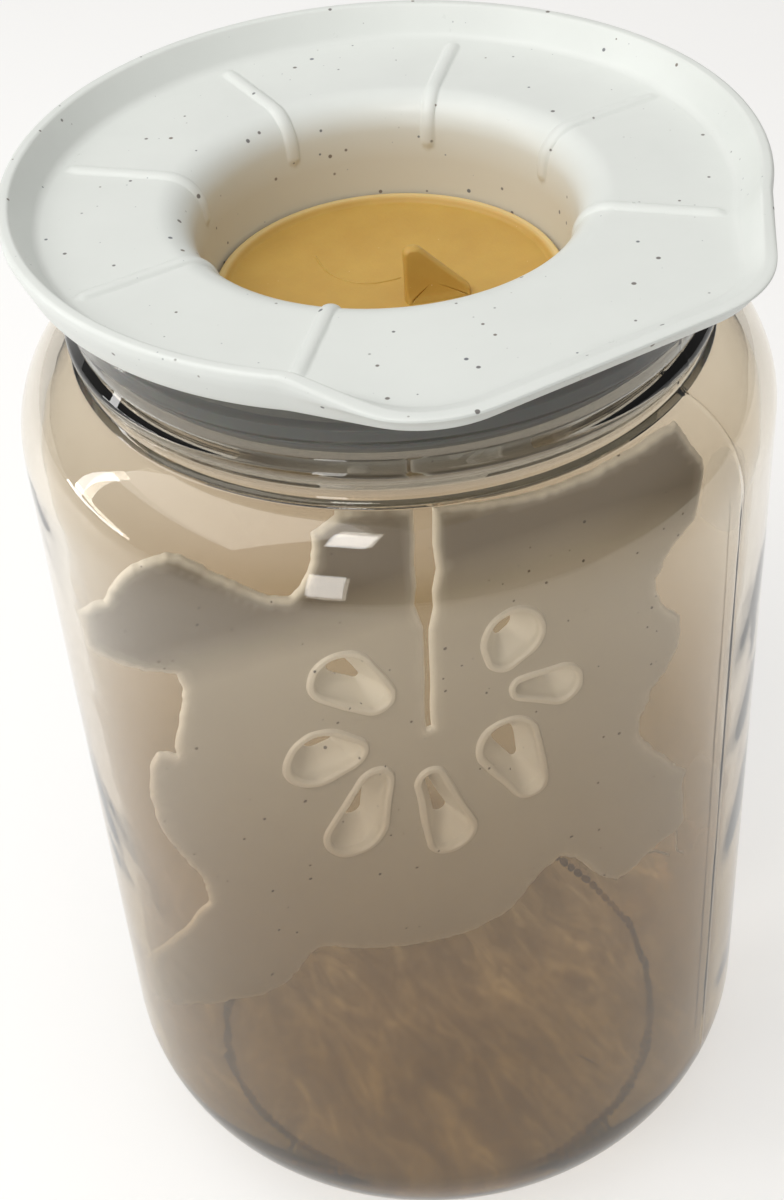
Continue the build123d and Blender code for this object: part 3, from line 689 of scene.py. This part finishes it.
def bead_row(s):
    """Small flattened balls half sunk in the heel: one ball is a half ellipse turned about its axis, which is
    laid along the heel's normal, and the rest are copies of it turned about the jar's axis."""
    up = np.linspace(-np.pi / 2, np.pi / 2, 7)
    radius, heel, ring = s.bead / MM, s.heel / MM, s.bead_ring / MM
    ball, faces = turned_surface(radius * np.stack([np.cos(up), 0.7 * np.sin(up)], 1), 10)
    lean = math.asin((ring - s.radius / MM + heel) / heel)
    out = ring + ball[:, 0] * math.cos(lean) + ball[:, 2] * math.sin(lean)
    high = heel - heel * math.cos(lean) + ball[:, 0] * math.sin(lean) - ball[:, 2] * math.cos(lean)
    turn = np.linspace(0, 2 * np.pi, s.beads, endpoint=False)[:, None]
    x = out * np.cos(turn) - ball[:, 1] * np.sin(turn)
    y = out * np.sin(turn) + ball[:, 1] * np.cos(turn)
    points = np.stack([x, y, np.broadcast_to(high, x.shape)], -1)
    first = len(ball) * np.arange(s.beads)[:, None, None]
    return points, (faces + first).reshape(-1, 4)


class JAR_OT_glass(bpy.types.Operator):
    """Build the glass jar"""

    bl_idname = "jar.glass"
    bl_label = "Glass Jar"

    def execute(self, context):
        s = settings("glass")
        piece = put_surface("glass_jar_body", *glass_surface(s))
        piece.visible_shadow = False
        beads = put_surface("glass_jar_beads", *bead_row(s))
        beads.visible_shadow = False
        glass = clear_glass(*(tuple(t) for t in (s.tint, s.foot_painted_shade, s.shoulder_painted_light, s.neck_painted_shade)))
        finish_piece(piece, "jar", "glass_jar", glass)
        finish_piece(beads, "jar", "glass_jar", glass)
        return {"FINISHED"}


# The lid


def lid_section(s):
    """Closed half section of the lid, and where its ribs lie on it. The upper part runs from the ledge up
    the well's wall, over its mouth, along the floor and up to the rim, the lower part back underneath."""
    floor, rim, radius = s.floor_height / MM, s.rim_height / MM, s.radius / MM
    well, mouth = s.well_radius / MM, s.well_round / MM
    foot, ledge, ledge_top = (millimetres(size) for size in (LID_FOOT, s.ledge_radius, s.ledge_height))
    well_foot = millimetres(s.ledge_radius + s.ledge_width)
    under, rim_foot = floor - millimetres(s.wall), floor + 3.4
    plug, plug_foot = millimetres(s.plug_radius), millimetres(s.plug_foot)
    inner, groove = millimetres(s.plug_radius - s.plug_wall), millimetres(s.plug_radius - s.groove)
    groove_foot, groove_top = millimetres(GASKET_FOOT) - 0.1, millimetres(GASKET_TOP) + 0.1
    upper = [(ledge, foot, 0), (ledge, ledge_top, 0.4), (well_foot, ledge_top, 0.5)]
    upper += [(well + 0.4, floor, mouth), (radius - 5.3, floor, 2.0), (radius - 1.9, rim, 0.75)]
    upper += [(radius, rim, 0.75), (radius, rim_foot, 0)]
    lower = [(radius, rim_foot, 0), (radius - 2.2, under, 0.8), (plug, under, 0.3)]
    lower += [(plug, groove_top, 0.15), (groove, groove_top, 0.15), (groove, groove_foot, 0.15)]
    lower += [(plug, groove_foot, 0.15), (plug, plug_foot, 0.5), (inner, plug_foot, 0.5), (inner, under, 0.5)]
    lower += [(well + 2.3, under, 4.0), (well_foot + 1.9, foot, 0.5), (ledge, foot, 0)]
    top, back = rounded(upper, 0.6), rounded(lower, 2.0, turn_step=20)
    return np.vstack([top, back[1:-1]]), len(top)


def lid_outline(s, count=3600):
    """Outline of the lid from above and its outward normals: a circle whose front has a straight pouring
    edge with two rounded corners, evened out by a running mean of about three millimetres."""
    radius, reach, half = s.radius / MM, s.reach / MM, s.spout_half_width / MM
    turn = np.radians(np.linspace(-45, 225, 271))
    circle = np.stack([radius * np.cos(turn), radius * np.sin(turn), np.zeros(271)], 1)
    front = np.array([(-half, -reach, 20.0), (half, -reach, 20.0)])
    path = rounded(np.vstack([circle, front]), 0.5, closed=True)
    path = even_loop(path, count)
    width = int(3.0 / np.linalg.norm(path[1] - path[0]))
    kernel = np.hanning(width + 2)[1:-1]
    padded = np.vstack([path[-width:], path, path[:width]])
    kernel = kernel / kernel.sum()
    path = np.stack([np.convolve(padded[:, i], kernel, "same") for i in (0, 1)], 1)[width:-width]
    return path, outward(path)


def lid_columns():
    """Azimuths of the sweep: close together across each of the seven ribs and about a degree apart
    elsewhere."""
    ribs = np.radians([0, 45, 90, 135, 180, 225, 315])
    fine = np.radians(np.linspace(-2.9, 2.9, 19))
    plain = np.radians(np.arange(0, 360, 1.2))
    apart = np.abs(np.mod(plain[:, None] - ribs + np.pi, 2 * np.pi) - np.pi).min(1)
    turn = np.concatenate([plain[apart > np.radians(3.2)], (ribs[:, None] + fine).ravel()])
    return np.sort(np.mod(turn, 2 * np.pi)), ribs


def pour_drop(s, forward):
    """Height of the rim by distance towards the pouring edge: level, then down a soft step."""
    rim, low = s.rim_height / MM, s.pour_height / MM
    over, start, run = 0.7, 39, 18
    return np.minimum(rim, rim + over - (rim + over - low) * smoothstep((forward - start) / run))


def lid_surface(s):
    """The lid's section swept round the axis. Ribs push the section out along its own normal by a rounded
    ridge of the distance from the rib's middle line. Inside, a place keeps its radius; near the rim it is
    measured inwards from the outline instead, and heights above the floor shrink towards the pour."""
    section, top_count = lid_section(s)
    turn, ribs = lid_columns()
    floor, radius = s.floor_height / MM, s.radius / MM
    tangent = (np.roll(section, -1, 0) - np.roll(section, 1, 0)) / 2
    normal = np.stack([-tangent[:, 1], tangent[:, 0]], 1)
    normal /= np.linalg.norm(normal, axis=1, keepdims=True)
    steps = np.concatenate([[0], np.cumsum(np.linalg.norm(np.diff(section, axis=0), axis=1))])
    outer_end = np.interp(s.rib_end / MM, section[:top_count, 0], steps[:top_count])
    on_top = (np.arange(len(section)) < top_count) & (section[:, 0] > 29)
    well = s.well_radius / MM
    in_well = section[:top_count, 0] < well + 3
    low_end = np.interp(floor - 7.2, section[:top_count][in_well, 1], steps[:top_count][in_well])
    beyond = np.maximum(np.maximum(steps - outer_end, low_end - steps), 0)
    apart = np.mod(turn[:, None] - ribs + np.pi, 2 * np.pi) - np.pi
    nearest = np.abs(apart).min(1)
    away = section[:, :1] * np.sin(np.minimum(nearest, 0.3))[None, :]
    q = (away**2 + beyond[:, None] ** 2) / (s.rib_half_width / MM) ** 2
    ridge = s.rib_height / MM * np.clip(1 - q, 0, 1) ** 0.62 * on_top[:, None]
    x = section[:, :1] + ridge * normal[:, :1]
    z = section[:, 1:] + ridge * normal[:, 1:]
    path, out = lid_outline(s)
    azimuth = np.mod(np.arctan2(path[:, 1], path[:, 0]), 2 * np.pi)
    order = np.argsort(azimuth)
    path, out, azimuth = path[order], out[order], azimuth[order]
    edge = np.stack([np.interp(turn, azimuth, path[:, i], period=2 * np.pi) for i in (0, 1)], 1)
    lean = np.stack([np.interp(turn, azimuth, out[:, i], period=2 * np.pi) for i in (0, 1)], 1)
    ray = np.stack([np.cos(turn), np.sin(turn)], 1)
    from_edge = edge[None] - (radius - x)[..., None] * lean[None]
    from_axis = x[..., None] * ray[None]
    blend = smoothstep((x - 53.5) / 3.0)[..., None]
    plan = from_axis * (1 - blend) + from_edge * blend
    drop = (pour_drop(s, -plan[..., 1]) - floor) / (s.rim_height / MM - floor)
    z = np.where((z > floor) & (x > 54), floor + (z - floor) * drop, z)
    points = np.concatenate([plan, z[..., None]], -1)
    return points.reshape(-1, 3), grid_faces(len(section), len(turn), True, True)


class JAR_OT_lid(bpy.types.Operator):
    """Build the speckled pouring lid"""

    bl_idname = "jar.lid"
    bl_label = "Lid"

    def execute(self, context):
        s = settings("lid")
        piece = put_surface("lid_tray", *lid_surface(s))
        # Painted shade inside the well and under the tray, by height.
        painted_shade = (tuple(s.painted_shade), s.painted_shade_from, s.painted_shade_to)
        material = speckled_plastic("speckled_plastic", tuple(s.plastic), tuple(s.speck), painted_shade)
        finish_piece(piece, "lid", "lid", material, crease=50)
        return {"FINISHED"}


def turned_surface(profile, columns):
    """Half section turned about the axis, closed at the axis or in itself."""
    turn = np.linspace(0, 2 * np.pi, columns, endpoint=False)[None, :]
    r, z = profile[:, :1], profile[:, 1:]
    points = np.stack([r * np.cos(turn), r * np.sin(turn), np.broadcast_to(z, (len(r), columns))], -1)
    closed = profile[0, 0] > 0
    return points.reshape(-1, 3), grid_faces(len(r), columns, closed, True)


def gasket_section(s):
    """Closed section of the gasket: a flat band in the plug's groove, with a fin at its foot and its top."""
    sizes = GASKET_FOOT, GASKET_TOP, GASKET_RADIUS, s.plug_radius
    foot, top, fin, plug = (millimetres(size) for size in sizes)
    back, face = plug - 0.9, plug + 0.1
    loop = [(back, foot, 0.1), (plug, foot, 0.1), (fin, foot + 0.3, 0.14), (fin, foot + 1.0, 0.2)]
    loop += [(face, foot + 0.95, 0.2), (face, top - 0.9, 0.2), (fin, top - 0.85, 0.2)]
    loop += [(fin, top - 0.1, 0.14), (plug, top, 0.1), (back, top, 0.1)]
    return rounded(loop, 0.5, closed=True)


class JAR_OT_gasket(bpy.types.Operator):
    """Build the gasket ring in the lid's plug"""

    bl_idname = "jar.gasket"
    bl_label = "Gasket"

    def execute(self, context):
        s = settings("lid")
        piece = put_surface("lid_gasket_ring", *turned_surface(gasket_section(s), 320))
        material = clear_silicone(tuple(s.silicone))
        finish_piece(piece, "lid", "lid_gasket", material, crease=50)
        return {"FINISHED"}


# The well stopper


def tab_surface(s):
    """Pillow of the tab: its outline drawn in by the half thickness less its cosine while the surface goes
    across by the sine, from one face to the other, and each face drawn in to one middle point. Its foot
    flares by a falling exponential."""
    half, thick = s.tab_length / MM / 2, s.tab_thickness / MM / 2
    lip = (s.foot + s.thickness) / MM
    root, top = lip - 1.5, lip + s.tab_height / MM
    corners = [(-half, root, 0.5), (half, root, 0.5), (half, lip + 0.2, 0.9), (-half + 2.6, top, 1.6)]
    corners += [(-half, top, 1.3)]
    path = rounded(corners, 0.6, closed=True)
    tilt = np.radians(np.linspace(-90, 90, 13))[:, None, None]
    edge = path - outward(path) * thick * 0.5 * (1 - np.cos(tilt))
    across = np.broadcast_to(thick * np.sin(tilt), edge[..., :1].shape)
    middle = edge[0].mean(0)
    shares = np.array([0.0, 0.3, 0.6, 0.85])[:, None, None]
    face = middle + (edge[0][None] - middle) * shares
    crown = np.broadcast_to(thick * (1 + 0.04 * (1 - shares)), face[..., :1].shape)
    flat = np.concatenate([face, edge, face[::-1]])
    across = np.concatenate([-crown, across, crown[::-1]])
    flare = 1 + 0.55 * np.exp(-np.maximum(flat[..., 1:] - lip + 1.0, 0) / 0.7)
    turn = s.tab_turn
    x = s.tab_right / MM + flat[..., :1] * math.cos(turn) - across * flare * math.sin(turn)
    y = -s.tab_front / MM + flat[..., :1] * math.sin(turn) + across * flare * math.cos(turn)
    points = np.concatenate([x, y, flat[..., 1:]], -1)
    return points.reshape(-1, 3), grid_faces(points.shape[0], points.shape[1], False, True)


def tube(path, radius, sides=10):
    """Round tube along a path, with both ends drawn in to a point: a circle in the plane across the path,
    spanned by the path's sideways and upward normals."""
    path = np.asarray(path, float)
    ahead = np.gradient(path, axis=0)
    ahead /= np.linalg.norm(ahead, axis=1, keepdims=True)
    guide = np.where(np.abs(ahead[:, 2:]) > 0.9, [[1.0, 0, 0]], [[0, 0, 1.0]])
    side = np.cross(ahead, guide)
    side /= np.linalg.norm(side, axis=1, keepdims=True)
    up = np.cross(side, ahead)
    taper = np.broadcast_to(radius, (len(path), 1)).copy()
    taper[0] = taper[-1] = 0
    turn = np.linspace(0, 2 * np.pi, sides, endpoint=False)[None, :, None]
    ring = path[:, None] + taper[:, None] * (np.cos(turn) * side[:, None] + np.sin(turn) * up[:, None])
    return ring.reshape(-1, 3), grid_faces(len(path), sides, False, True)


class JAR_OT_stopper(bpy.types.Operator):
    """Build the yellow well stopper with its tab"""

    bl_idname = "jar.stopper"
    bl_label = "Well Stopper"

    def execute(self, context):
        s = settings("stopper")
        radius, foot, lip = s.radius / MM, s.foot / MM, (s.foot + s.thickness) / MM
        dish = lip - s.dish / MM
        profile = [(0, foot, 0), (radius, foot, 0.5), (radius, lip, 0.55), (radius - 1.5, lip, 0.4)]
        profile += [(radius - 2.2, dish + 0.05, 0.8), (0, dish, 0)]
        line = smooth_run([(-5.4, 15.9), (-6.3, 10.9), (-5.8, 6.9), (-3.9, 3.5), (-1, 1.7), (2.8, 0.8)], 0.5)
        line = np.column_stack([line, np.full(len(line), dish - 0.02)])
        material = yellow_silicone(tuple(s.silicone))
        for name, shape in (
            ("well_stopper_disc", turned_surface(rounded(profile, 1.5), 256)),
            ("well_stopper_tab", tab_surface(s)),
            ("well_stopper_flow_line", tube(line, 0.2)),
        ):
            finish_piece(put_surface(name, *shape), "stopper", "well_stopper", material)
        return {"FINISHED"}


# The drain plate


def plate_place(s, flat):
    """Place in the jar of (across, up, front) on the plate's own plane, front counted from its back."""
    turn = s.turn
    facing = np.array([math.sin(turn), -math.cos(turn), 0])
    wide = np.array([math.cos(turn), math.sin(turn), 0])
    depth = s.offset / MM + flat[:, 2:]
    return flat[:, :1] * wide + depth * facing + flat[:, 1:2] * np.array([0, 0, 1.0])


def plate_warp(flat):
    """Soft bend of the plate: slow sines of across and up, with its upper right turned forward."""
    x, z = flat[:, 0], flat[:, 1]
    bend = 0.35 * np.sin(x / 21 + z / 47) + 0.25 * np.sin(x / 34 - z / 29 + 1.2)
    curl = 2.6 * smoothstep((x - 30) / 30) * smoothstep((z - 112) / 35)
    warped = flat.copy()
    warped[:, 2] += bend + curl
    return warped


def torn_outline(s):
    """Plate's outline: the torn runs as smooth curves, roughened along their normals by an uneven line."""
    runs = [np.array(run) * (s.half_chord / MM, s.rise / MM) + (0, s.foot / MM) for run in TORN_RUNS]
    path = np.vstack([smooth_run(run, 1.0)[:-1] for run in runs])
    path = divided(path, 0.7, closed=True)
    rough = s.roughness / MM * hash_noise(3.0, len(path), [41, 67, 97, 131, 173, 211, 251])
    path = path + outward(path) * rough[:, None]
    reach = s.half_chord / MM - 0.15
    path[:, 0] = np.clip(path[:, 0], -reach, reach)
    return path


def hole_loops(s):
    """Outline and outward normals of each hole with its lip: a drop of two arcs, wide and narrow, joined by
    the lines that touch both, turned and set on its place, and spaced evenly."""
    ring, narrow_share = s.hole_ring / MM, s.hole_narrow
    loops = []
    for across, up, long, broad, heading in HOLES:
        wide = broad * ring / 2
        narrow = narrow_share * wide
        reach = long * ring - wide - narrow
        lean = math.asin((wide - narrow) / reach)
        ends = [(wide, (reach - wide + narrow) / 2, -lean, np.pi + lean)]
        ends += [(narrow, (narrow - wide - reach) / 2, np.pi + lean, 2 * np.pi - lean)]
        arcs = []
        for radius, high, start, stop in ends:
            turn = np.linspace(start, stop, 60)
            arcs.append(np.column_stack([radius * np.cos(turn), high + radius * np.sin(turn)]))
        path = even_loop(np.vstack(arcs), 120)
        c, n = math.sin(math.radians(heading)), math.cos(math.radians(heading))
        path = path @ np.array([[c, -n], [n, c]]) + (s.hole_x / MM + across * ring, s.hole_z / MM + up * ring)
        loops.append((path, outward(path)))
    return loops


def slit_outline(s):
    """Slit from the holes' middle up through the torn top: narrow below, wide and ragged above."""
    x, low, high = s.hole_x / MM, s.slit_foot / MM, (s.foot + s.rise) / MM + 4
    narrow, wide = s.slit_narrow / MM, s.slit_wide / MM
    left = [(-narrow, low), (-narrow, 117.0), (-wide * 0.7, 119.5)]
    left += [(-wide * 1.15, 123.0), (-wide * 0.85, 127.0)]
    left += [(-wide * 1.05, 132.0), (-wide * 0.9, 138.0), (-wide * 1.1, high)]
    right = [(narrow, low), (narrow, 116.0), (wide * 0.9, 120.5), (wide * 0.8, 124.5), (wide * 1.2, 129.0)]
    right += [(wide * 0.9, 135.0), (wide * 1.1, high)]
    path = np.vstack([np.array(left), np.array(right)[::-1]]) + (x, 0)
    path[:, 0] -= s.slit_lean / MM * (high - 4 - path[:, 1]) / (high - 4 - low)
    return divided(path, 0.8, closed=True)


def inside(points, loop):
    """True for each point that a level ray to the right leaves the loop an odd number of times."""
    x, y = points[:, :1], points[:, 1:]
    a, b = loop, np.roll(loop, -1, 0)
    crosses = (a[:, 1] > y) != (b[:, 1] > y)
    with np.errstate(divide="ignore", invalid="ignore"):
        at = a[:, 0] + (y - a[:, 1]) / (b[:, 1] - a[:, 1]) * (b[:, 0] - a[:, 0])
    return (crosses & (x < at)).sum(1) % 2 == 1


def nearest_distance(points, samples):
    """Distance from each point to the nearest sample, worked out in blocks."""
    blocks = np.array_split(points, max(1, len(points) // 500))
    return np.concatenate([np.sqrt(((b[:, None] - samples) ** 2).sum(2).min(1)) for b in blocks])


def sheet_points(torn, slit, holes):
    """Points within the sheet: rings drawn in from the torn edges and an even grid, clear of the holes."""
    edge = np.vstack([torn, slit])
    free = []
    for loop, sign in ((torn, -1), (slit, 1)):
        for step in (0.3, 0.75, 1.4):
            ring = loop + sign * step * outward(loop)
            free.append(ring[nearest_distance(ring, edge) > step * 0.93])
    across, up = np.meshgrid(np.arange(-62, 62.1, 1.5), np.arange(24, 153, 1.5))
    even = np.stack([across.ravel(), up.ravel()], 1)
    free = np.vstack([*free, even[nearest_distance(even, edge) > 2.0]])
    free = free[inside(free, torn) & ~inside(free, slit)]
    free = free[~np.any([inside(free, hole) for hole in holes], axis=0)]
    return free[nearest_distance(free, np.vstack(holes)) > 0.4]


def sheet_triangles(torn, slit, holes):
    """Flat points and triangles between the outlines, with those outside the torn edge, in the slit or in a
    hole left out, and the rest turned the same way."""
    loops = [torn, slit, *holes]
    starts = np.cumsum([0] + [len(loop) for loop in loops])
    lines = []
    for start, loop in zip(starts, loops):
        here = np.arange(len(loop))
        lines.append(start + np.stack([here, (here + 1) % len(loop)], 1))
    points = [Vector(p) for p in np.vstack([*loops, sheet_points(torn, slit, holes)])]
    made = delaunay_2d_cdt(points, np.vstack(lines).tolist(), [], 0, 1e-5)
    flat, faces = np.array([tuple(v) for v in made[0]]), np.array(made[2])
    centre = flat[faces].mean(1)
    keep = inside(centre, torn) & ~inside(centre, slit)
    keep &= ~np.any([inside(centre, hole) for hole in holes], axis=0)
    faces = faces[keep]
    a, b, c = (flat[faces[:, i]] for i in range(3))
    area = (b[:, 0] - a[:, 0]) * (c[:, 1] - a[:, 1]) - (b[:, 1] - a[:, 1]) * (c[:, 0] - a[:, 0])
    faces = np.where((area < 0)[:, None], faces[:, ::-1], faces)
    used, faces = np.unique(faces, return_inverse=True)
    return flat[used], faces.reshape(-1, 3)


def free_sides(faces, count):
    """Sides that belong to one triangle only, in that triangle's own direction."""
    sides = np.vstack([faces[:, [0, 1]], faces[:, [1, 2]], faces[:, [2, 0]]])
    codes = np.sort(sides, 1) @ np.array([count, 1])
    _, first, times = np.unique(codes, return_index=True, return_counts=True)
    return sides[first[times == 1]]


def plate_sheet(s):
    """Torn sheet. Its front and back leave each other by a share that grows with the distance from the torn
    edge, as the square root of a circle, and a band closes them. The torn colour's share, painted light on
    the torn edge, is a bell curve of the same distance."""
    torn, slit = torn_outline(s), slit_outline(s)
    holes = [path - 0.9 * normal for path, normal in hole_loops(s)]
    flat, faces = sheet_triangles(torn, slit, holes)
    away = nearest_distance(flat, np.vstack([torn, slit]))
    full = np.sqrt(np.clip(1 - (1 - np.minimum(away / 1.4, 1)) ** 2, 0, 1)) * 0.72 + 0.28
    thick = s.thickness / MM
    ripple = 0.10 * np.sin(flat[:, 0] * 1.9 + flat[:, 1] * 0.8) * np.exp(-away / 2.0)
    front = np.column_stack([flat, thick * (0.35 + 0.65 * full) + ripple])
    back = np.column_stack([flat, thick * 0.35 * (1 - full)])
    count = len(flat)
    here, there = free_sides(faces, count).T
    band = np.column_stack([there, here, here + count, there, here + count, there + count]).reshape(-1, 2, 3)
    triangles = np.vstack([faces, faces[:, ::-1] + count, band[:, 0], band[:, 1]])
    points = plate_place(s, plate_warp(np.vstack([front, back])))
    return points, triangles, np.tile(np.exp(-((away / 1.1) ** 2)), 2)


def collar_parts(s):
    """Collars of the holes: one closed section, a soft raised front lip and a wall behind it, carried round
    each outline along its outward normals, on a copy of the outline that shrinks towards the back."""
    thick, reach = s.thickness / MM, s.collar / MM
    back = -reach
    section = [(-1.7, thick + 0.1, 0.4), (-1.3, thick + 0.65, 0.4), (-0.4, thick + 0.6, 0.4)]
    section += [(0.1, thick - 0.3, 0.2), (-0.5, 0.1, 0.3), (-0.5, back, 0.3), (-1.5, back, 0.3)]
    loop = rounded(section, 0.8, closed=True)
    size = s.hole_taper + (1 - s.hole_taper) * np.clip(1 + loop[:, 1] / reach, 0, 1)
    parts = []
    for path, normal in hole_loops(s):
        middle = path.mean(0)
        flat = middle + (path - middle)[None] * size[:, None, None] + normal[None] * loop[:, :1, None]
        depth = np.broadcast_to(loop[:, 1:, None], flat[..., :1].shape)
        solid = np.concatenate([flat, depth], -1).reshape(-1, 3)
        parts.append((plate_place(s, plate_warp(solid)), grid_faces(len(loop), len(path), True, True)))
    return parts


class JAR_OT_plate(bpy.types.Operator):
    """Build the torn drain plate and the collars of its holes"""

    bl_idname = "jar.plate"
    bl_label = "Drain Plate"

    def execute(self, context):
        s = settings("plate")
        # Painted shade of the lid on the plate's top, by height.
        painted_shade = (tuple(s.painted_shade), s.painted_shade_from, s.painted_shade_to)
        material = speckled_plastic("torn_plastic", tuple(s.plastic), tuple(s.speck), painted_shade, tuple(s.torn))
        points, faces, torn = plate_sheet(s)
        sheet = put_surface("drain_plate_sheet", points, faces, {"torn": torn})
        finish_piece(sheet, "jar", "drain_plate", material, crease=45)
        threads = []
        for run in THREADS:
            path = smooth_run([(x, z, s.thickness / MM / 2) for x, z in run], 0.6)
            threads.append(tube(plate_place(s, path), s.thread / MM))
        threads = put_surface("drain_plate_threads", *joined(threads))
        finish_piece(threads, "jar", "drain_plate", material)
        points, faces = joined(collar_parts(s))
        # Painted light: the collars take most of the torn colour, so their lips and inner walls show paler as
        # if lit.
        torn = np.full(len(points), 0.85)
        collars = put_surface("drain_plate_collars", points, faces, {"torn": torn})
        finish_piece(collars, "jar", "drain_plate", material, crease=50)
        return {"FINISHED"}


# The stage


def place_camera(s):
    """Camera at the photograph's place: a heading, a downward pitch and a small roll, as three turns."""
    camera = bpy.data.cameras.new("camera")
    holder = bpy.data.objects.new("camera", camera)
    bpy.context.scene.collection.objects.link(holder)
    level = Vector((math.sin(s.heading), math.cos(s.heading), 0))
    ahead = math.cos(s.pitch) * level - math.sin(s.pitch) * Vector((0, 0, 1))
    right = Vector((math.cos(s.heading), -math.sin(s.heading), 0))
    up = right.cross(ahead)
    tilted_right = math.cos(s.roll) * right + math.sin(s.roll) * up
    tilted_up = -math.sin(s.roll) * right + math.cos(s.roll) * up
    place = Matrix((tilted_right, tilted_up, -ahead)).transposed().to_4x4()
    place.translation = s.camera
    holder.matrix_world = place
    camera.sensor_fit = "HORIZONTAL"
    camera.sensor_width = 36
    camera.lens = s.lens
    camera.clip_start = 0.01
    bpy.context.scene.camera = holder


def lamp(name, place, size, watts, tone):
    """Soft rectangular lamp that looks at the jar."""
    light = bpy.data.lights.new(name, "AREA")
    light.shape = "RECTANGLE"
    light.size, light.size_y = size
    light.energy, light.color = watts, tone
    holder = bpy.data.objects.new(name, light)
    holder.location = place
    holder.rotation_euler = (LAMPS_LOOK_AT - Vector(place)).to_track_quat("-Z", "Y").to_euler()
    bpy.context.scene.collection.objects.link(holder)


def surroundings(strength):
    """World: a pale ceiling over a dimmer room, a little paler on the window's side."""
    world = bpy.data.worlds.new("surroundings")
    bpy.context.scene.world = world
    world.use_nodes = True
    tree = world.node_tree
    ground = tree.nodes["Background"]
    ground.inputs["Color"].default_value = (1.0, 0.985, 0.96, 1)
    parts = add(tree, "SeparateXYZ", {"Vector": add(tree, "TexCoord").outputs["Generated"]})
    low, high = {"From Min": 0.1, "To Min": 0.34}, {"From Max": 0.7, "To Max": 1.15}
    ceiling = add(tree, "MapRange", {"Value": parts.outputs[2], **low, **high})
    ceiling.interpolation_type = "SMOOTHSTEP"
    left, right = {"From Min": -1.0, "To Min": 1.2}, {"From Max": 1.0, "To Max": 0.8}
    side = add(tree, "MapRange", {"Value": parts.outputs[0], **left, **right})
    both = add(tree, "Math", {0: side.outputs[0], 1: ceiling.outputs[0]}, operation="MULTIPLY")
    level = add(tree, "Math", {0: both.outputs[0], 1: strength}, operation="MULTIPLY")
    tree.links.new(level.outputs[0], ground.inputs["Strength"])


def floor_material(base):
    """Pale floor that keeps the object's shadow and adds an even white for camera, gloss and glass."""
    material, tree, shader = material_of("pale_floor", base, 0.9, Specular_IOR_Level=0.1)
    path = add(tree, "LightPath")
    camera, gloss, glass = (path.outputs[f"Is {kind} Ray"] for kind in ("Camera", "Glossy", "Transmission"))
    seen = add(tree, "Math", {0: camera, 1: gloss}, operation="MAXIMUM")
    seen = add(tree, "Math", {0: seen.outputs[0], 1: glass}, operation="MAXIMUM")
    level = add(tree, "Math", {0: seen.outputs[0], 1: 0.2}, operation="MULTIPLY")
    shader.inputs["Emission Color"].default_value = (1, 1, 1, 1)
    tree.links.new(level.outputs[0], shader.inputs["Emission Strength"])
    return material


class JAR_OT_stage(bpy.types.Operator):
    """Lay the floor and set the lamps and the camera"""

    bl_idname = "jar.stage"
    bl_label = "Stage"

    def execute(self, context):
        s = settings("stage")
        context.scene.view_settings.view_transform = "Standard"
        side = np.array([(-1, -1, 0), (1, -1, 0), (1, 1, 0), (-1, 1, 0)]) * 3000.0
        ground = put_surface("floor", side, np.array([[0, 1, 2, 3]]))
        ground.data.materials.append(floor_material(s.floor))
        surroundings(s.sky)
        for name, place, width, height, watts in (
            ("soft_key", (-0.6, 0.18, 1.05), 0.9, 0.9, s.key),
            ("window_top", (-0.42, -0.33, 1.0), 0.17, 0.22, s.window * 0.5),
            ("window_foot", (-0.76, -0.59, 0.4), 0.17, 0.36, s.window * 0.55),
            ("back_window", (-0.75, 0.63, 0.45), 0.07, 0.55, s.fill),
            ("back_strip", (-0.84, 0.545, 0.17), 0.45, 0.035, s.fill * 0.5),
        ):
            lamp(name, place, (width, height), watts, s.lamp)
        place_camera(s)
        return {"FINISHED"}


class JAR_PT_pieces(bpy.types.Panel):
    """Lists the jar's settings and the buttons that build its pieces"""

    bl_label = "Fermenting Jar"
    bl_space_type = "VIEW_3D"
    bl_region_type = "UI"
    bl_category = "Fermenting Jar"

    def draw(self, context):
        for name, (group, operators) in PARTS.items():
            box = self.layout.box()
            box.label(text=name.title())
            for prop in group.__annotations__:
                box.prop(settings(name), prop)
            for operator in operators:
                box.operator(operator.bl_idname)


PARTS = {
    "stage": (StageSettings, [JAR_OT_stage]),
    "glass": (GlassSettings, [JAR_OT_glass]),
    "plate": (PlateSettings, [JAR_OT_plate]),
    "lid": (LidSettings, [JAR_OT_lid, JAR_OT_gasket]),
    "stopper": (StopperSettings, [JAR_OT_stopper]),
}


def register():
    for name, (group, operators) in PARTS.items():
        for cls in (group, *operators):
            bpy.utils.register_class(cls)
        setattr(bpy.types.Scene, "jar_" + name, bpy.props.PointerProperty(type=group))
    bpy.utils.register_class(JAR_PT_pieces)


def unregister():
    bpy.utils.unregister_class(JAR_PT_pieces)
    for name, (group, operators) in PARTS.items():
        delattr(bpy.types.Scene, "jar_" + name)
        for cls in (group, *operators):
            bpy.utils.unregister_class(cls)


def main():
    register()
    for _, operators in PARTS.values():
        for operator in operators:
            group, name = operator.bl_idname.split(".")
            getattr(getattr(bpy.ops, group), name)()


if __name__ == "__main__":
    main()
